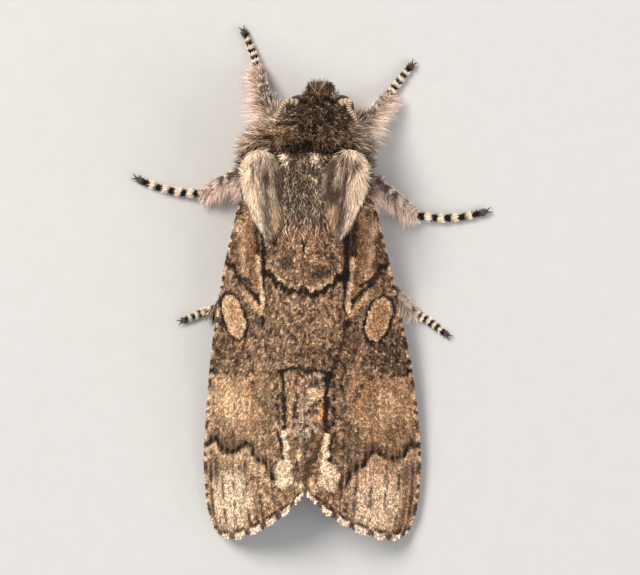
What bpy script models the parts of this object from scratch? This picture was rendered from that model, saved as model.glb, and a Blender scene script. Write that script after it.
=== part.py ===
"""A chosen sallow moth at rest, life size: a stout, furry owlet moth standing on a level floor.

The head points to -Y, the left side is +X and up is +Z. The script works in millimetres and
make_node() scales each finished shape to metres. The floor is z = 0, below the middle of the
moth. Sizes are those of an animal whose forewing is 18 mm long.
"""

import math
import random

import bmesh
import bpy
from mathutils import Matrix, Vector

# Scale and fit, in millimetres
MM = 0.001
GAP = 0.3
WING_THICKNESS = 0.5
VEIN_RISE = 0.13
LEFT, RIGHT = 1, -1

# The three parts of the body: centre and half-sizes
HEAD_AT, HEAD_SIZE = Vector((-0.65, -8.5, 2.75)), Vector((1.32, 1.1, 1.35))
COLLAR_AT, COLLAR_SIZE = Vector((0.0, -6.85, 3.05)), Vector((3.15, 2.35, 2.85))
THORAX_AT, THORAX_SIZE = Vector((0.0, -4.75, 3.35)), Vector((2.15, 3.1, 2.45))
COLLAR_REAR_Y = -6.65
COLLAR_UNDERSIDE_Z = 1.5

# The collar narrows to a hood towards the head, which is turned a little to the right
HOOD_TAPER, HOOD_TAPER_FROM, HOOD_TAPER_LENGTH = 0.33, -6.3, 1.6
NECK_BEND_FROM, NECK_BEND_LENGTH = -6.9, 1.7

# Eyes, measured sideways from the head
EYE_RADIUS = 0.68
EYE_AT = Vector((1.05, -8.75, 2.4))

# Abdomen: stations of y, centre height, half-width and half-height
ABDOMEN_STATIONS = (
    (-2.9, 2.55, 1.35, 1.35),
    (-1.5, 2.45, 1.6, 1.6),
    (1.0, 2.3, 1.65, 1.62),
    (4.0, 2.05, 1.5, 1.4),
    (6.8, 1.75, 1.15, 1.05),
    (9.2, 1.45, 0.4, 0.4),
)

# Forewing edges seen from above, for the left wing: x and y from root to outer margin
COSTA_EDGE = (
    (2.75, -5.35), (3.2, -4.4), (3.64, -2.9), (4.05, -1.2), (4.4, 0.4), (4.7, 2.1), (4.98, 3.6),
    (5.18, 5.2), (5.35, 7.0), (5.45, 8.8), (5.38, 10.4), (5.2, 11.6), (4.85, 12.45),
)
INNER_EDGE = (
    (2.35, -4.85), (1.7, -4.1), (0.95, -3.2), (0.35, -2.3), (0.17, -1.2), (0.16, 0.2), (0.16, 1.8),
    (0.16, 3.4), (0.16, 5.0), (0.16, 6.6), (0.16, 8.2), (0.16, 9.4), (0.16, 10.3),
)
OUTER_EDGE = (
    (0.16, 10.3), (0.7, 10.95), (1.3, 11.5), (2.0, 12.0), (2.8, 12.42), (3.6, 12.7), (4.3, 12.75),
    (4.85, 12.45),
)
SCALLOPS = 6.5
SCALLOP_DEPTH = 0.1
WING_ROOF_POWER = 1.65
RIGHT_WING_SPREAD = 0.03

# Heights of the wing's upper face: y, ridge height beside the midline, height at the costa
WING_HEIGHTS = (
    (-5.4, 5.3, 3.05),
    (-2.4, 5.2, 2.55),
    (0.8, 5.0, 1.75),
    (4.0, 4.75, 1.15),
    (7.5, 4.4, 0.75),
    (10.3, 4.05, 0.55),
    (12.8, 3.7, 0.47),
)

# Main veins: share of the way from inner edge to costa, and where along the wing each one starts
VEINS = (
    (0.09, 0.0), (0.22, 0.42), (0.33, 0.52), (0.45, 0.0), (0.57, 0.58), (0.69, 0.0), (0.80, 0.55),
    (0.92, 0.0),
)
VEIN_HALF_WIDTH = 0.028
WING_ROWS = 14

# Hindwing, folded below the forewing: shares of the forewing that it spans
HINDWING_ACROSS = (0.46, 0.83)
HINDWING_ALONG = (0.2, 0.955)
HINDWING_ROWS, HINDWING_COLUMNS = 14, 5

# Legs: hip, knee, ankle, middle of the foot and claws, each as x, y and height
LEGS = {
    "fore_leg_left": (
        (0.7, -6.6, 2.0), (2.2, -9.4, 1.6), (2.6, -10.95, 0.42), (2.88, -11.8, 0.2), (3.34, -12.8, 0.2),
    ),
    "fore_leg_right": (
        (-0.7, -6.6, 2.0), (-3.15, -8.35, 1.6), (-4.0, -9.5, 0.42), (-4.5, -10.2, 0.2), (-5.2, -11.05, 0.2),
    ),
    "mid_leg_left": (
        (0.8, -4.6, 1.6), (3.45, -5.5, 1.65), (5.45, -4.55, 0.5), (7.1, -4.5, 0.2), (8.78, -5.33, 0.2),
    ),
    "mid_leg_right": (
        (-0.8, -4.4, 1.6), (-3.5, -5.0, 1.65), (-5.4, -3.45, 0.5), (-7.1, -3.05, 0.2), (-8.95, -3.65, 0.2),
    ),
    "hind_leg_left": (
        (0.7, -2.9, 1.9), (3.1, -0.45, 0.8), (4.75, 1.2, 0.3), (5.6, 1.55, 0.2), (6.45, 1.9, 0.2),
    ),
    "hind_leg_right": (
        (-0.7, -2.9, 1.9), (-3.6, -0.3, 0.8), (-5.45, 1.55, 0.3), (-6.2, 1.98, 0.2), (-6.95, 2.6, 0.2),
    ),
}
THIGH_RADII = (0.55, 0.52, 0.46, 0.36)
SHIN_RADII = (0.37, 0.41, 0.38, 0.29)
FOOT_JOINTS = 5
FOOT_RADII = (0.23, 0.27)
FOOT_SHARE = 0.95
CLAW_RADIUS = 0.08
HIND_THICKNESS = 0.85

# Antenna of the left side: x, y, z and radius from the head back along the thorax, before the neck's bend
ANTENNA_PATH = (
    (1.29, -9.1, 3.6, 0.3), (1.6, -9.0, 3.6, 0.3), (1.95, -8.6, 3.4, 0.27), (2.3, -8.15, 3.1, 0.26),
    (2.72, -7.65, 2.75, 0.26), (3.15, -7.1, 2.45, 0.26), (3.3, -6.4, 2.25, 0.26), (3.25, -5.6, 2.25, 0.25),
    (3.15, -4.8, 2.2, 0.25), (3.1, -4.1, 2.05, 0.25), (3.1, -3.4, 1.8, 0.25), (3.2, -2.4, 1.55, 0.2),
    (3.3, -1.6, 1.45, 0.1),
)

# Tegulae, the flaps over the wing roots, broad in front and narrow behind: the left one
TEGULA_AT, TEGULA_SIZE = Vector((2.14, -4.45, 5.06)), Vector((1.32, 2.15, 0.55))
TEGULA_BEND = 0.3
TEGULA_REAR_SHARE = 0.4
TEGULA_TURN, TEGULA_LEAN = math.radians(9), math.radians(41)

# Locks of hair: shape shared by all, and where they stand
LOCK_THICKNESS = 0.56
LOCK_ROOT_DEPTH = 0.35
LOCK_SETTLE = 0.13
LOCK_SEED = 7

# Rows of locks on the furry parts: degrees from middle to front or rear, degrees round from the top on
# each side, number, length, half-width and lift off the body
COLLAR_ROWS = (
    (-64, 72, 6, 1.6, 0.5, 0.16), (-40, 96, 9, 1.7, 0.52, 0.18), (-16, 104, 10, 1.5, 0.55, 0.22),
)
THORAX_ROWS = (
    (-26, 17, 3, 1.7, 0.45, 0.1), (-2, 25, 4, 1.8, 0.5, 0.12), (22, 33, 4, 1.8, 0.5, 0.16),
    (44, 44, 4, 1.6, 0.5, 0.22),
)
CHEST_ROWS = ((-20, 64, 4, 1.5, 0.5, 0.16), (18, 58, 4, 1.5, 0.5, 0.16))
HEAD_ROWS = ((-38, 62, 4, 0.95, 0.4, 0.5), (-8, 50, 3, 1.0, 0.42, 0.5))
TEGULA_LOCKS = (
    (-0.5, -0.3, 1.9), (0.3, -0.35, 2.0), (-0.15, 0.1, 2.2), (0.42, 0.1, 1.9), (-0.4, 0.45, 1.7),
)
TAIL_LOCKS = 6

# Fringes of long hair behind the legs: number, first and last share of the way from hip to ankle, length
LEG_FRINGES = {"fore": (5, 0.45, 0.93, 0.85), "mid": (7, 0.5, 0.97, 1.15), "hind": (5, 0.62, 0.97, 0.95)}
FRINGE_HALF_WIDTH = 0.34

# Labial palps below the face: the left one, measured sideways from the head
PALP_PATH = (
    (0.35, -9.3, 1.45, 0.28), (0.42, -9.75, 1.6, 0.32), (0.42, -10.02, 2.05, 0.26), (0.4, -10.08, 2.5, 0.12),
)

COLOURS = {
    "furry_body": (0.13, 0.105, 0.085), "pale_flap": (0.42, 0.36, 0.29), "wing_scales": (0.23, 0.18, 0.135),
    "hindwing_scales": (0.16, 0.13, 0.11), "leg_scales": (0.36, 0.31, 0.27),
    "eye_surface": (0.02, 0.015, 0.012),
}


def clear_scene():
    for item in list(bpy.data.objects):
        bpy.data.objects.remove(item)


def make_material(name, colour, roughness):
    material = bpy.data.materials.new(name)
    material.use_nodes = True
    shader = material.node_tree.nodes["Principled BSDF"]
    shader.inputs["Base Color"].default_value = (*colour, 1.0)
    shader.inputs["Roughness"].default_value = roughness
    return material


def make_collection(name):
    collection = bpy.data.collections.new(name)
    bpy.context.scene.collection.children.link(collection)
    return collection


def smooth_step(value):
    value = min(max(value, 0.0), 1.0)
    return value * value * (3 - 2 * value)


def along(points, share):
    """The point at that share of a smooth curve through the points, which may have any number of values."""
    last = len(points) - 1
    place = min(max(share, 0.0), 1.0) * last
    index = min(int(place), last - 1)
    t = place - index
    before, start = points[max(index - 1, 0)], points[index]
    end, after = points[index + 1], points[min(index + 2, last)]
    return [
        0.5 * (2 * b + (c - a) * t + (2 * a - 5 * b + 4 * c - d) * t * t + (3 * b - a - 3 * c + d) * t ** 3)
        for a, b, c, d in zip(before, start, end, after)
    ]


def at_y(stations, y):
    """The values of the stations at y, between the two stations that it lies between."""
    for low, high in zip(stations, stations[1:]):
        if y <= high[0] or high is stations[-1]:
            share = smooth_share((y - low[0]) / (high[0] - low[0]))
            return [a + (b - a) * share for a, b in zip(low[1:], high[1:])]
    return list(stations[-1][1:])


def smooth_share(share):
    return min(max(share, 0.0), 1.0)


def mesh_object(name, shape, collection):
    """An object that holds the bmesh, with its faces pointing out."""
    bmesh.ops.recalc_face_normals(shape, faces=shape.faces)
    if shape.calc_volume(signed=True) < 0:
        bmesh.ops.reverse_faces(shape, faces=shape.faces)
    mesh = bpy.data.meshes.new(name)
    shape.to_mesh(mesh)
    shape.free()
    item = bpy.data.objects.new(name, mesh)
    collection.objects.link(item)
    return item


def rounded_body(name, place, segments, rings, collection):
    """A sphere whose points are moved by place(), which takes a point of the unit sphere."""
    shape = bmesh.new()
    bmesh.ops.create_uvsphere(shape, u_segments=segments, v_segments=rings, radius=1.0)
    for vertex in shape.verts:
        vertex.co = place(vertex.co.copy())
    return mesh_object(name, shape, collection)


def ellipsoid(name, centre, size, collection, segments=20, rings=14, turn=None):
    turn = turn or Matrix.Identity(3)

    def place(unit):
        return centre + turn @ Vector((unit.x * size.x, unit.y * size.y, unit.z * size.z))

    return rounded_body(name, place, segments, rings, collection)


def tube(name, path, grow, collection, sides=8):
    """A round tube through points of x, y, z and radius, grown by a margin."""
    curve = bpy.data.curves.new(name, "CURVE")
    curve.dimensions = "3D"
    curve.bevel_depth = 1.0
    curve.bevel_resolution = sides // 2 - 2
    curve.use_fill_caps = True
    spline = curve.splines.new("POLY")
    spline.points.add(len(path) - 1)
    for point, (x, y, z, radius) in zip(spline.points, path):
        point.co = (x, y, z, 1.0)
        point.radius = radius + grow
    guide = bpy.data.objects.new(name + "_line", curve)
    collection.objects.link(guide)
    graph = bpy.context.evaluated_depsgraph_get()
    mesh = bpy.data.meshes.new_from_object(guide.evaluated_get(graph))
    bpy.data.objects.remove(guide)
    shape = bmesh.new()
    shape.from_mesh(mesh)
    bpy.data.meshes.remove(mesh)
    bmesh.ops.remove_doubles(shape, verts=shape.verts, dist=0.001)
    return mesh_object(name, shape, collection)


def box(name, low, high, collection):
    shape = bmesh.new()
    bmesh.ops.create_cube(shape, size=1.0)
    for vertex in shape.verts:
        vertex.co = Vector(high[i] if vertex.co[i] > 0 else low[i] for i in range(3))
    return mesh_object(name, shape, collection)


def apply_boolean(item, others, operation):
    """Joins the other objects to this one, or cuts them from it, and removes them."""
    helpers = bpy.data.collections.new("helpers")
    bpy.context.scene.collection.children.link(helpers)
    for other in others:
        for home in list(other.users_collection):
            home.objects.unlink(other)
        helpers.objects.link(other)
    modifier = item.modifiers.new("joined", "BOOLEAN")
    modifier.operation = operation
    modifier.operand_type = "COLLECTION"
    modifier.collection = helpers
    modifier.solver = "MANIFOLD"
    graph = bpy.context.evaluated_depsgraph_get()
    mesh = bpy.data.meshes.new_from_object(item.evaluated_get(graph))
    item.modifiers.clear()
    item.data = mesh
    for other in list(helpers.objects):
        bpy.data.objects.remove(other)
    bpy.data.collections.remove(helpers)


def keep_largest(item):
    """Leaves only the largest closed surface of the object."""
    shape = bmesh.new()
    shape.from_mesh(item.data)
    left = set(shape.faces)
    pieces = []
    while left:
        piece, front = set(), [left.pop()]
        while front:
            face = front.pop()
            piece.add(face)
            for edge in face.edges:
                for near in edge.link_faces:
                    if near in left:
                        left.remove(near)
                        front.append(near)
        pieces.append(piece)
    pieces.sort(key=lambda faces: -sum(face.calc_area() for face in faces))
    for piece in pieces[1:]:
        bmesh.ops.delete(shape, geom=list(piece), context="FACES")
    shape.to_mesh(item.data)
    shape.free()


def make_node(name, pieces, cutters, material, home):
    """One named, closed object in metres: the pieces joined, less the room that its neighbours need."""
    item = pieces[0]
    if pieces[1:]:
        apply_boolean(item, pieces[1:], "UNION")
    if cutters:
        apply_boolean(item, cutters, "DIFFERENCE")
    keep_largest(item)
    item.name = name
    item.data.name = name
    item.data.transform(Matrix.Scale(MM, 4))
    item.data.materials.clear()
    item.data.materials.append(material)
    item.data.shade_smooth()
    for collection in list(item.users_collection):
        collection.objects.unlink(item)
    home.objects.link(item)
    return item


def costa_x(y):
    """Half the width across the closed wings at y, out to the costa."""
    edge = COSTA_EDGE
    for low, high in zip(edge, edge[1:]):
        if y <= high[1] or high is edge[-1]:
            share = smooth_share((y - low[1]) / (high[1] - low[1]))
            return low[0] + (high[0] - low[0]) * share
    return edge[-1][0]


def wing_plan(u, v):
    """x and y of the left forewing, u from root to outer margin and v from inner edge to costa."""
    inner, costa = Vector(along(INNER_EDGE, u)), Vector(along(COSTA_EDGE, u))
    flat = inner.lerp(costa, v)
    corner = Vector(INNER_EDGE[-1]).lerp(Vector(COSTA_EDGE[-1]), v)
    scallop = SCALLOP_DEPTH * (abs(math.sin(math.pi * SCALLOPS * v)) - 0.6)
    bulge = Vector(along(OUTER_EDGE, v)) - corner + Vector((-0.2, 1.0)) * scallop * min(1.0, 6 * v)
    return flat + bulge * u ** 5


def wing_height(x, y):
    ridge, edge = at_y(WING_HEIGHTS, y)
    share = min(x / costa_x(y), 1.0)
    return edge + (ridge - edge) * (1 - share ** WING_ROOF_POWER)


def wing_point(u, v, lift=0.0, widen=(0, 0)):
    """A point of the left forewing's upper face, lifted off it, and moved along and across it by widen."""
    step = 0.01

    def surface(a, b):
        flat = wing_plan(a, b)
        return Vector((flat.x, flat.y, wing_height(flat.x, flat.y)))

    ahead = surface(min(u + step, 1.0), v) - surface(max(u - step, 0.0), v)
    across = surface(u, min(v + step, 1.0)) - surface(u, max(v - step, 0.0))
    normal = across.cross(ahead).normalized()
    lift *= 1 if normal.z > 0 else -1
    return surface(u, v) + normal * lift + ahead.normalized() * widen[0] + across.normalized() * widen[1]


def vein_rise(u, v):
    for place, start in VEINS:
        if abs(v - place) < 0.001:
            return VEIN_RISE * smooth_step((u - start + 0.02) / 0.1)
    return 0.0


def to_side(point, side):
    """The point on that side of the moth. The right pair of wings is spread a little wider."""
    x = point.x
    if side == RIGHT:
        x *= 1 + RIGHT_WING_SPREAD * smooth_step((point.y + 1) / 8)
    else:
        x *= 1 - RIGHT_WING_SPREAD * smooth_step((point.y + 1) / 8)
    return Vector((side * x, point.y, point.z))


def sheet(name, rows, columns, top, bottom, collection):
    """A closed sheet: top and bottom give a point for a row and a column, and both faces split alike."""
    shape = bmesh.new()
    bmesh.ops.create_grid(shape, x_segments=rows, y_segments=columns, size=1.0)
    shape.verts.sort()
    cells = {}
    for vertex in shape.verts:
        row = round((vertex.co.x + 1) / 2 * rows)
        column = round((vertex.co.y + 1) / 2 * columns)
        cells[vertex] = (row, column)
    bmesh.ops.triangulate(shape, faces=shape.faces)
    skin = bmesh.ops.extrude_face_region(shape, geom=shape.faces[:])
    lifted = [part for part in skin["geom"] if isinstance(part, bmesh.types.BMVert)]
    for vertex in lifted:
        row = round((vertex.co.x + 1) / 2 * rows)
        column = round((vertex.co.y + 1) / 2 * columns)
        vertex.co = top(row, column)
    for vertex, (row, column) in cells.items():
        vertex.co = bottom(row, column)
    bmesh.ops.triangulate(shape, faces=shape.faces)
    return mesh_object(name, shape, collection)


def vein_columns():
    """Shares across the wing at which its mesh has a line: each vein's crest, its two feet and the edges."""
    shares = [0.0, 1.0]
    for place, _ in VEINS:
        shares += [place - VEIN_HALF_WIDTH, place, place + VEIN_HALF_WIDTH]
    return sorted(shares)


def outward(index, last):
    """-1 on the first line of a grid, 1 on the last and 0 between."""
    return (index == last) - (index == 0)


def forewing(side, grow, collection):
    columns = vein_columns()
    last = len(columns) - 1

    def place(row, column, lift):
        widen = (grow * outward(row, WING_ROWS), grow * outward(column, last))
        return to_side(wing_point(row / WING_ROWS, columns[column], lift, widen), side)

    def top(row, column):
        return place(row, column, grow + vein_rise(row / WING_ROWS, columns[column]))

    def bottom(row, column):
        return place(row, column, -WING_THICKNESS - grow)

    return sheet("forewing", WING_ROWS, last, top, bottom, collection)


def hindwing(side, grow, collection):
    first, last = HINDWING_ALONG
    inner, outer = HINDWING_ACROSS

    def place(row, column, lift):
        u = first + (last - first) * row / HINDWING_ROWS
        spread = smooth_step(row / HINDWING_ROWS * 2.5)
        v = inner + (outer - inner) * (0.35 + 0.65 * spread) * column / HINDWING_COLUMNS
        widen = (grow * outward(row, HINDWING_ROWS), grow * outward(column, HINDWING_COLUMNS))
        return to_side(wing_point(u, v, lift, widen), side)

    upper = -WING_THICKNESS - GAP
    return sheet(
        "hindwing", HINDWING_ROWS, HINDWING_COLUMNS, lambda r, c: place(r, c, upper + grow),
        lambda r, c: place(r, c, upper - WING_THICKNESS - grow), collection,
    )


def thorax(grow, collection):
    return [ellipsoid("thorax", THORAX_AT, THORAX_SIZE + Vector((grow,) * 3), collection)]


def neck_bend(y):
    """How far that part of the neck leans aside, towards the head."""
    return HEAD_AT.x * smooth_step((NECK_BEND_FROM - y) / NECK_BEND_LENGTH)


def hooded(items):
    """Pieces of the collar drawn in and bent aside towards the head."""
    for item in items:
        for vertex in item.data.vertices:
            taper = HOOD_TAPER * smooth_step((HOOD_TAPER_FROM - vertex.co.y) / HOOD_TAPER_LENGTH)
            vertex.co.x = vertex.co.x * (1 - taper) + neck_bend(vertex.co.y)
    return items


def collar(grow, collection):
    return hooded([ellipsoid("collar", COLLAR_AT, COLLAR_SIZE + Vector((grow,) * 3), collection)])


def antenna(side, grow, collection):
    path = [(side * x + neck_bend(y), y, z, radius) for x, y, z, radius in ANTENNA_PATH]
    return [tube("antenna", path, grow, collection, 6)]


def palp(side, collection):
    path = [(HEAD_AT.x + side * x, y, z, radius) for x, y, z, radius in PALP_PATH]
    return [tube("palp", path, 0, collection, 6)]


def head(grow, collection):
    return [ellipsoid("head", HEAD_AT, HEAD_SIZE + Vector((grow,) * 3), collection, 16, 12)]


def eye(side, grow, collection):
    centre = Vector((HEAD_AT.x + side * EYE_AT.x, EYE_AT.y, EYE_AT.z))
    return [ellipsoid("eye", centre, Vector((EYE_RADIUS + grow,) * 3), collection, 12, 8)]


def tegula_point(side, unit, grow):
    """A point of a tegula, for a point of the unit sphere."""
    turn = Matrix.Rotation(side * TEGULA_TURN, 3, "Z") @ Matrix.Rotation(side * TEGULA_LEAN, 3, "Y")
    breadth = TEGULA_REAR_SHARE + (1 - TEGULA_REAR_SHARE) * smooth_step(0.75 - 0.6 * unit.y)
    size = TEGULA_SIZE + Vector((grow,) * 3)
    centre = Vector((side * TEGULA_AT.x, TEGULA_AT.y, TEGULA_AT.z))
    bend = TEGULA_BEND * (unit.x ** 2 + 0.6 * unit.y ** 2)
    return centre + turn @ Vector((unit.x * size.x * breadth, unit.y * size.y, unit.z * size.z - bend))


def tegula(side, grow, collection):
    return [rounded_body("tegula", lambda unit: tegula_point(side, unit, grow), 14, 10, collection)]


def abdomen(grow, collection):
    first, last = ABDOMEN_STATIONS[0][0], ABDOMEN_STATIONS[-1][0]

    def place(unit):
        share = (unit.z + 1) / 2
        y = first + (last - first) * share
        height, width, depth = at_y(ABDOMEN_STATIONS, y)
        ring = math.hypot(unit.x, unit.y) or 1.0
        reach = min(1.0, 1.6 * ring)
        return Vector((
            unit.x / ring * reach * (width + grow), y + grow * (2 * share - 1),
            height + unit.y / ring * reach * (depth + grow),
        ))

    return [rounded_body("abdomen", place, 14, 18, collection)]


def leg_path(name):
    """Points and radii down one leg: thigh, shin, and a foot of five flaring joints that ends in claws."""
    hip, knee, ankle, middle, claws = (Vector(point) for point in LEGS[name])
    size = HIND_THICKNESS if name.startswith("hind") else 1.0
    path = []
    for start, end, radii in ((hip, knee, THIGH_RADII), (knee, ankle, SHIN_RADII)):
        for index, radius in enumerate(radii):
            share = (index + (0.5 if start is knee else 0.0)) / (len(radii) - 0.5)
            path.append((*start.lerp(end, share), radius * size))
    for index in range(2 * FOOT_JOINTS):
        share = FOOT_SHARE * (index // 2 + (0.2, 0.85)[index % 2]) / FOOT_JOINTS
        start = ankle.lerp(middle, share)
        point = start.lerp(middle.lerp(claws, share), share)
        path.append((*point, FOOT_RADII[index % 2]))
    path.append((*claws, CLAW_RADIUS))
    return path


def lock(root, lie, out, length, width, collection):
    """A flat, tapering lock of hair that is rooted in the body, lies along one way and bends outwards."""
    lie = lie.normalized()
    side = lie.cross(out).normalized()
    out = side.cross(lie)

    def place(unit):
        share = (unit.z + 1) / 2
        ring = math.hypot(unit.x, unit.y) or 1.0
        reach = (1 - share ** 1.7) / ring
        depth = LOCK_ROOT_DEPTH * (1 - share) ** 2
        settle = LOCK_SETTLE * (length * share) ** 2
        centre = root + lie * (length * share) - out * (depth + settle)
        return centre + side * (unit.x * reach * width) + out * (unit.y * reach * LOCK_THICKNESS / 2)

    return rounded_body("lock", place, 5, 4, collection)


def coat(centre, size, rows, chance, collection, upward=1, lie=Vector((0, 1, 0))):
    """Rows of locks over an ellipsoid, lying one way; upward is -1 for rows round its underside."""
    locks = []
    for pitch, spread, count, length, width, lift in rows:
        for index in range(count):
            roll = spread * (2 * (index + 0.5 * chance.uniform(0.6, 1.4)) / count - 1)
            tilt, turn = math.radians(pitch + chance.uniform(-4, 4)), math.radians(roll)
            unit = Vector((
                math.cos(tilt) * math.sin(turn), math.sin(tilt), upward * math.cos(tilt) * math.cos(turn),
            ))
            root = centre + Vector(unit[i] * size[i] for i in range(3))
            out = Vector(unit[i] / size[i] for i in range(3)).normalized()
            along_body = (lie - out * lie.dot(out)).normalized()
            sway = lie.cross(out) * chance.uniform(-0.12, 0.12)
            stretch = chance.uniform(0.9, 1.12)
            lie_here = along_body + out * lift + sway
            locks.append(lock(root, lie_here, out, length * stretch, width, collection))
    return locks


def tegula_locks(side, chance, collection):
    locks = []
    for across, back, length in TEGULA_LOCKS:
        unit = Vector((across * side, back, 0))
        unit.z = math.sqrt(1 - unit.length_squared)
        root, ahead = tegula_point(side, unit, 0), tegula_point(side, Vector((0, 1, 0)), 0)
        out = (root - tegula_point(side, Vector((unit.x, unit.y, 0)), 0)).normalized()
        lie = (ahead - root).normalized() + out * 0.14 + Vector((chance.uniform(-0.05, 0.05), 0, 0))
        locks.append(lock(root, lie, out, length, 0.42, collection))
    return locks


def tail_locks(chance, collection):
    """A ring of locks round the end of the abdomen, pointing back."""
    y = ABDOMEN_STATIONS[-2][0]
    height, width, depth = at_y(ABDOMEN_STATIONS, y)
    locks = []
    for index in range(TAIL_LOCKS):
        turn = 2 * math.pi * (index + chance.uniform(0.3, 0.7)) / TAIL_LOCKS
        out = Vector((math.sin(turn), 0, math.cos(turn)))
        root = Vector((out.x * width, y, height + out.z * depth))
        locks.append(lock(root, Vector((0, 1, -0.12)) - out * 0.12, out, 2.4, 0.42, collection))
    return locks


def leg_fringe(name, chance, collection):
    """Long hairs in locks behind one leg, swept towards its foot."""
    hip, knee, ankle, _, _ = (Vector(point) for point in LEGS[name])
    count, first, last, length = LEG_FRINGES[name.split("_")[0]]
    locks = []
    for index in range(count):
        share = first + (last - first) * (index + chance.uniform(0.35, 0.65)) / count
        start, end, part = (hip, knee, 2 * share) if share < 0.5 else (knee, ankle, 2 * share - 1)
        down_leg = (end - start).normalized()
        rear = Vector((0, 1, 0)) - down_leg * down_leg.y
        if abs(down_leg.y) > 0.8:
            rear = Vector((math.copysign(1, hip.x), 0, 0)) - down_leg * abs(down_leg.x)
        rear.z = 0.0
        root = start.lerp(end, part) + rear.normalized() * 0.1
        lie = rear.normalized() + down_leg * 0.75 + Vector((0, 0, -0.1 + 0.35 * (1 - share)))
        lie.z = max(lie.z, 0.3 * (0.3 - root.z))
        reach = length * chance.uniform(0.88, 1.12)
        locks.append(lock(root, lie, Vector((0, 0, 1)), reach, FRINGE_HALF_WIDTH, collection))
    return locks


def trimmed(locks, cutters):
    """Locks joined to one object, less the room that their neighbours need."""
    joined = locks[0]
    apply_boolean(joined, locks[1:], "UNION")
    if cutters:
        apply_boolean(joined, cutters, "DIFFERENCE")
    return [joined]


def build():
    clear_scene()
    home = make_collection("chosen_sallow_moth")
    bench = make_collection("bench")
    paint = {name: make_material(name, colour, 0.2 if name == "eye_surface" else 0.85)
             for name, colour in COLOURS.items()}
    chance = random.Random(LOCK_SEED)
    floor = ((-20, -20, -5), (20, 20, 0))

    for side, name in ((LEFT, "left"), (RIGHT, "right")):
        around = thorax(GAP, bench) + [box("floor", *floor, bench)]
        make_node("forewing_" + name, [forewing(side, 0, bench)], around, paint["wing_scales"], home)
        around = thorax(GAP, bench)
        make_node("hindwing_" + name, [hindwing(side, 0, bench)], around, paint["hindwing_scales"], home)
        around = [forewing(side, GAP, bench)] + thorax(GAP, bench)
        flap = tegula(side, 0, bench) + tegula_locks(side, chance, bench)
        make_node("tegula_" + name, flap, around, paint["pale_flap"], home)
        make_node("eye_" + name, eye(side, 0, bench), [], paint["eye_surface"], home)
        around = head(GAP, bench) + collar(GAP, bench)
        make_node("antenna_" + name, antenna(side, 0, bench), around, paint["leg_scales"], home)
        make_node("palp_" + name, palp(side, bench), head(GAP, bench), paint["furry_body"], home)

    around = tegula(LEFT, GAP, bench) + tegula(RIGHT, GAP, bench)
    around += [forewing(side, GAP, bench) for side in (LEFT, RIGHT)]
    back = trimmed(coat(THORAX_AT, THORAX_SIZE, THORAX_ROWS, chance, bench), around)
    around = [tube(name, leg_path(name), GAP, bench) for name in LEGS]
    chest = trimmed(coat(THORAX_AT, THORAX_SIZE, CHEST_ROWS, chance, bench, upward=-1), around)
    make_node("thorax", thorax(0, bench) + back + chest, [], paint["furry_body"], home)

    around = thorax(GAP, bench) + head(GAP, bench) + tegula(LEFT, GAP, bench) + tegula(RIGHT, GAP, bench)
    around.append(box("behind", (-9, COLLAR_REAR_Y, -2), (9, 9, 12), bench))
    around.append(box("below", (-9, -20, -2), (9, 9, COLLAR_UNDERSIDE_Z), bench))
    around += eye(LEFT, GAP, bench) + eye(RIGHT, GAP, bench)
    feelers = antenna(LEFT, GAP, bench) + antenna(RIGHT, GAP, bench)
    ruff = trimmed(hooded(coat(COLLAR_AT, COLLAR_SIZE, COLLAR_ROWS, chance, bench)), feelers)
    make_node("collar", collar(0, bench) + ruff, around, paint["furry_body"], home)

    around = eye(LEFT, GAP, bench) + eye(RIGHT, GAP, bench) + thorax(GAP, bench)
    tuft = coat(HEAD_AT, HEAD_SIZE, HEAD_ROWS, chance, bench, lie=Vector((0, -1, 0.35)))
    make_node("head", head(0, bench) + tuft, around, paint["furry_body"], home)

    around = thorax(GAP, bench)
    around += [wing(side, GAP, bench) for side in (LEFT, RIGHT) for wing in (forewing, hindwing)]
    make_node("abdomen", abdomen(0, bench) + tail_locks(chance, bench), around, paint["furry_body"], home)

    for name in LEGS:
        around = thorax(GAP, bench) + collar(GAP, bench) + abdomen(GAP, bench) + head(GAP, bench)
        around.append(box("floor", *floor, bench))
        limb = [tube(name, leg_path(name), 0, bench)] + leg_fringe(name, chance, bench)
        make_node(name, limb, around, paint["leg_scales"], home)

    bpy.data.collections.remove(bench)


build()
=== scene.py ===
# A chosen sallow moth at rest, seen from above: skin, wings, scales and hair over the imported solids.
# Shapes are worked out in millimetres and made metres when a piece is finished.
import math

import bmesh
import bpy
import numpy as np
from mathutils import Matrix, Vector


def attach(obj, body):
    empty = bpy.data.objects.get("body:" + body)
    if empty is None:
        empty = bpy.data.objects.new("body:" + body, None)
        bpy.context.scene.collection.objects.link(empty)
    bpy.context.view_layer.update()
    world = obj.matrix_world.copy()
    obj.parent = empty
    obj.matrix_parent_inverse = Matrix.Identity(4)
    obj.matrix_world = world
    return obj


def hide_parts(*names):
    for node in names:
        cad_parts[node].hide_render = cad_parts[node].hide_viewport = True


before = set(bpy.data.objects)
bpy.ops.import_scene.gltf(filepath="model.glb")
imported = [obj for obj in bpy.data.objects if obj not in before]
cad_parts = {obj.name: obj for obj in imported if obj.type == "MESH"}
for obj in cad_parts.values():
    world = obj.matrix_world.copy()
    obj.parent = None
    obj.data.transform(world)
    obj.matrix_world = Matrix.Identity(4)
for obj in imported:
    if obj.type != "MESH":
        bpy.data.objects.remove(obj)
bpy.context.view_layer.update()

MM = 0.001
LEFT, RIGHT = 1, -1
SIDES = ((LEFT, "left"), (RIGHT, "right"))
BODY = "root"


# Colours, as seen in daylight: red, green and blue from 0 to 255

def dye(red, green, blue):
    """Those colours as linear light."""
    shares = np.array([red, green, blue]) / 255
    return np.where(shares > 0.04045, ((shares + 0.055) / 1.055) ** 2.4, shares / 12.92)


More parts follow.
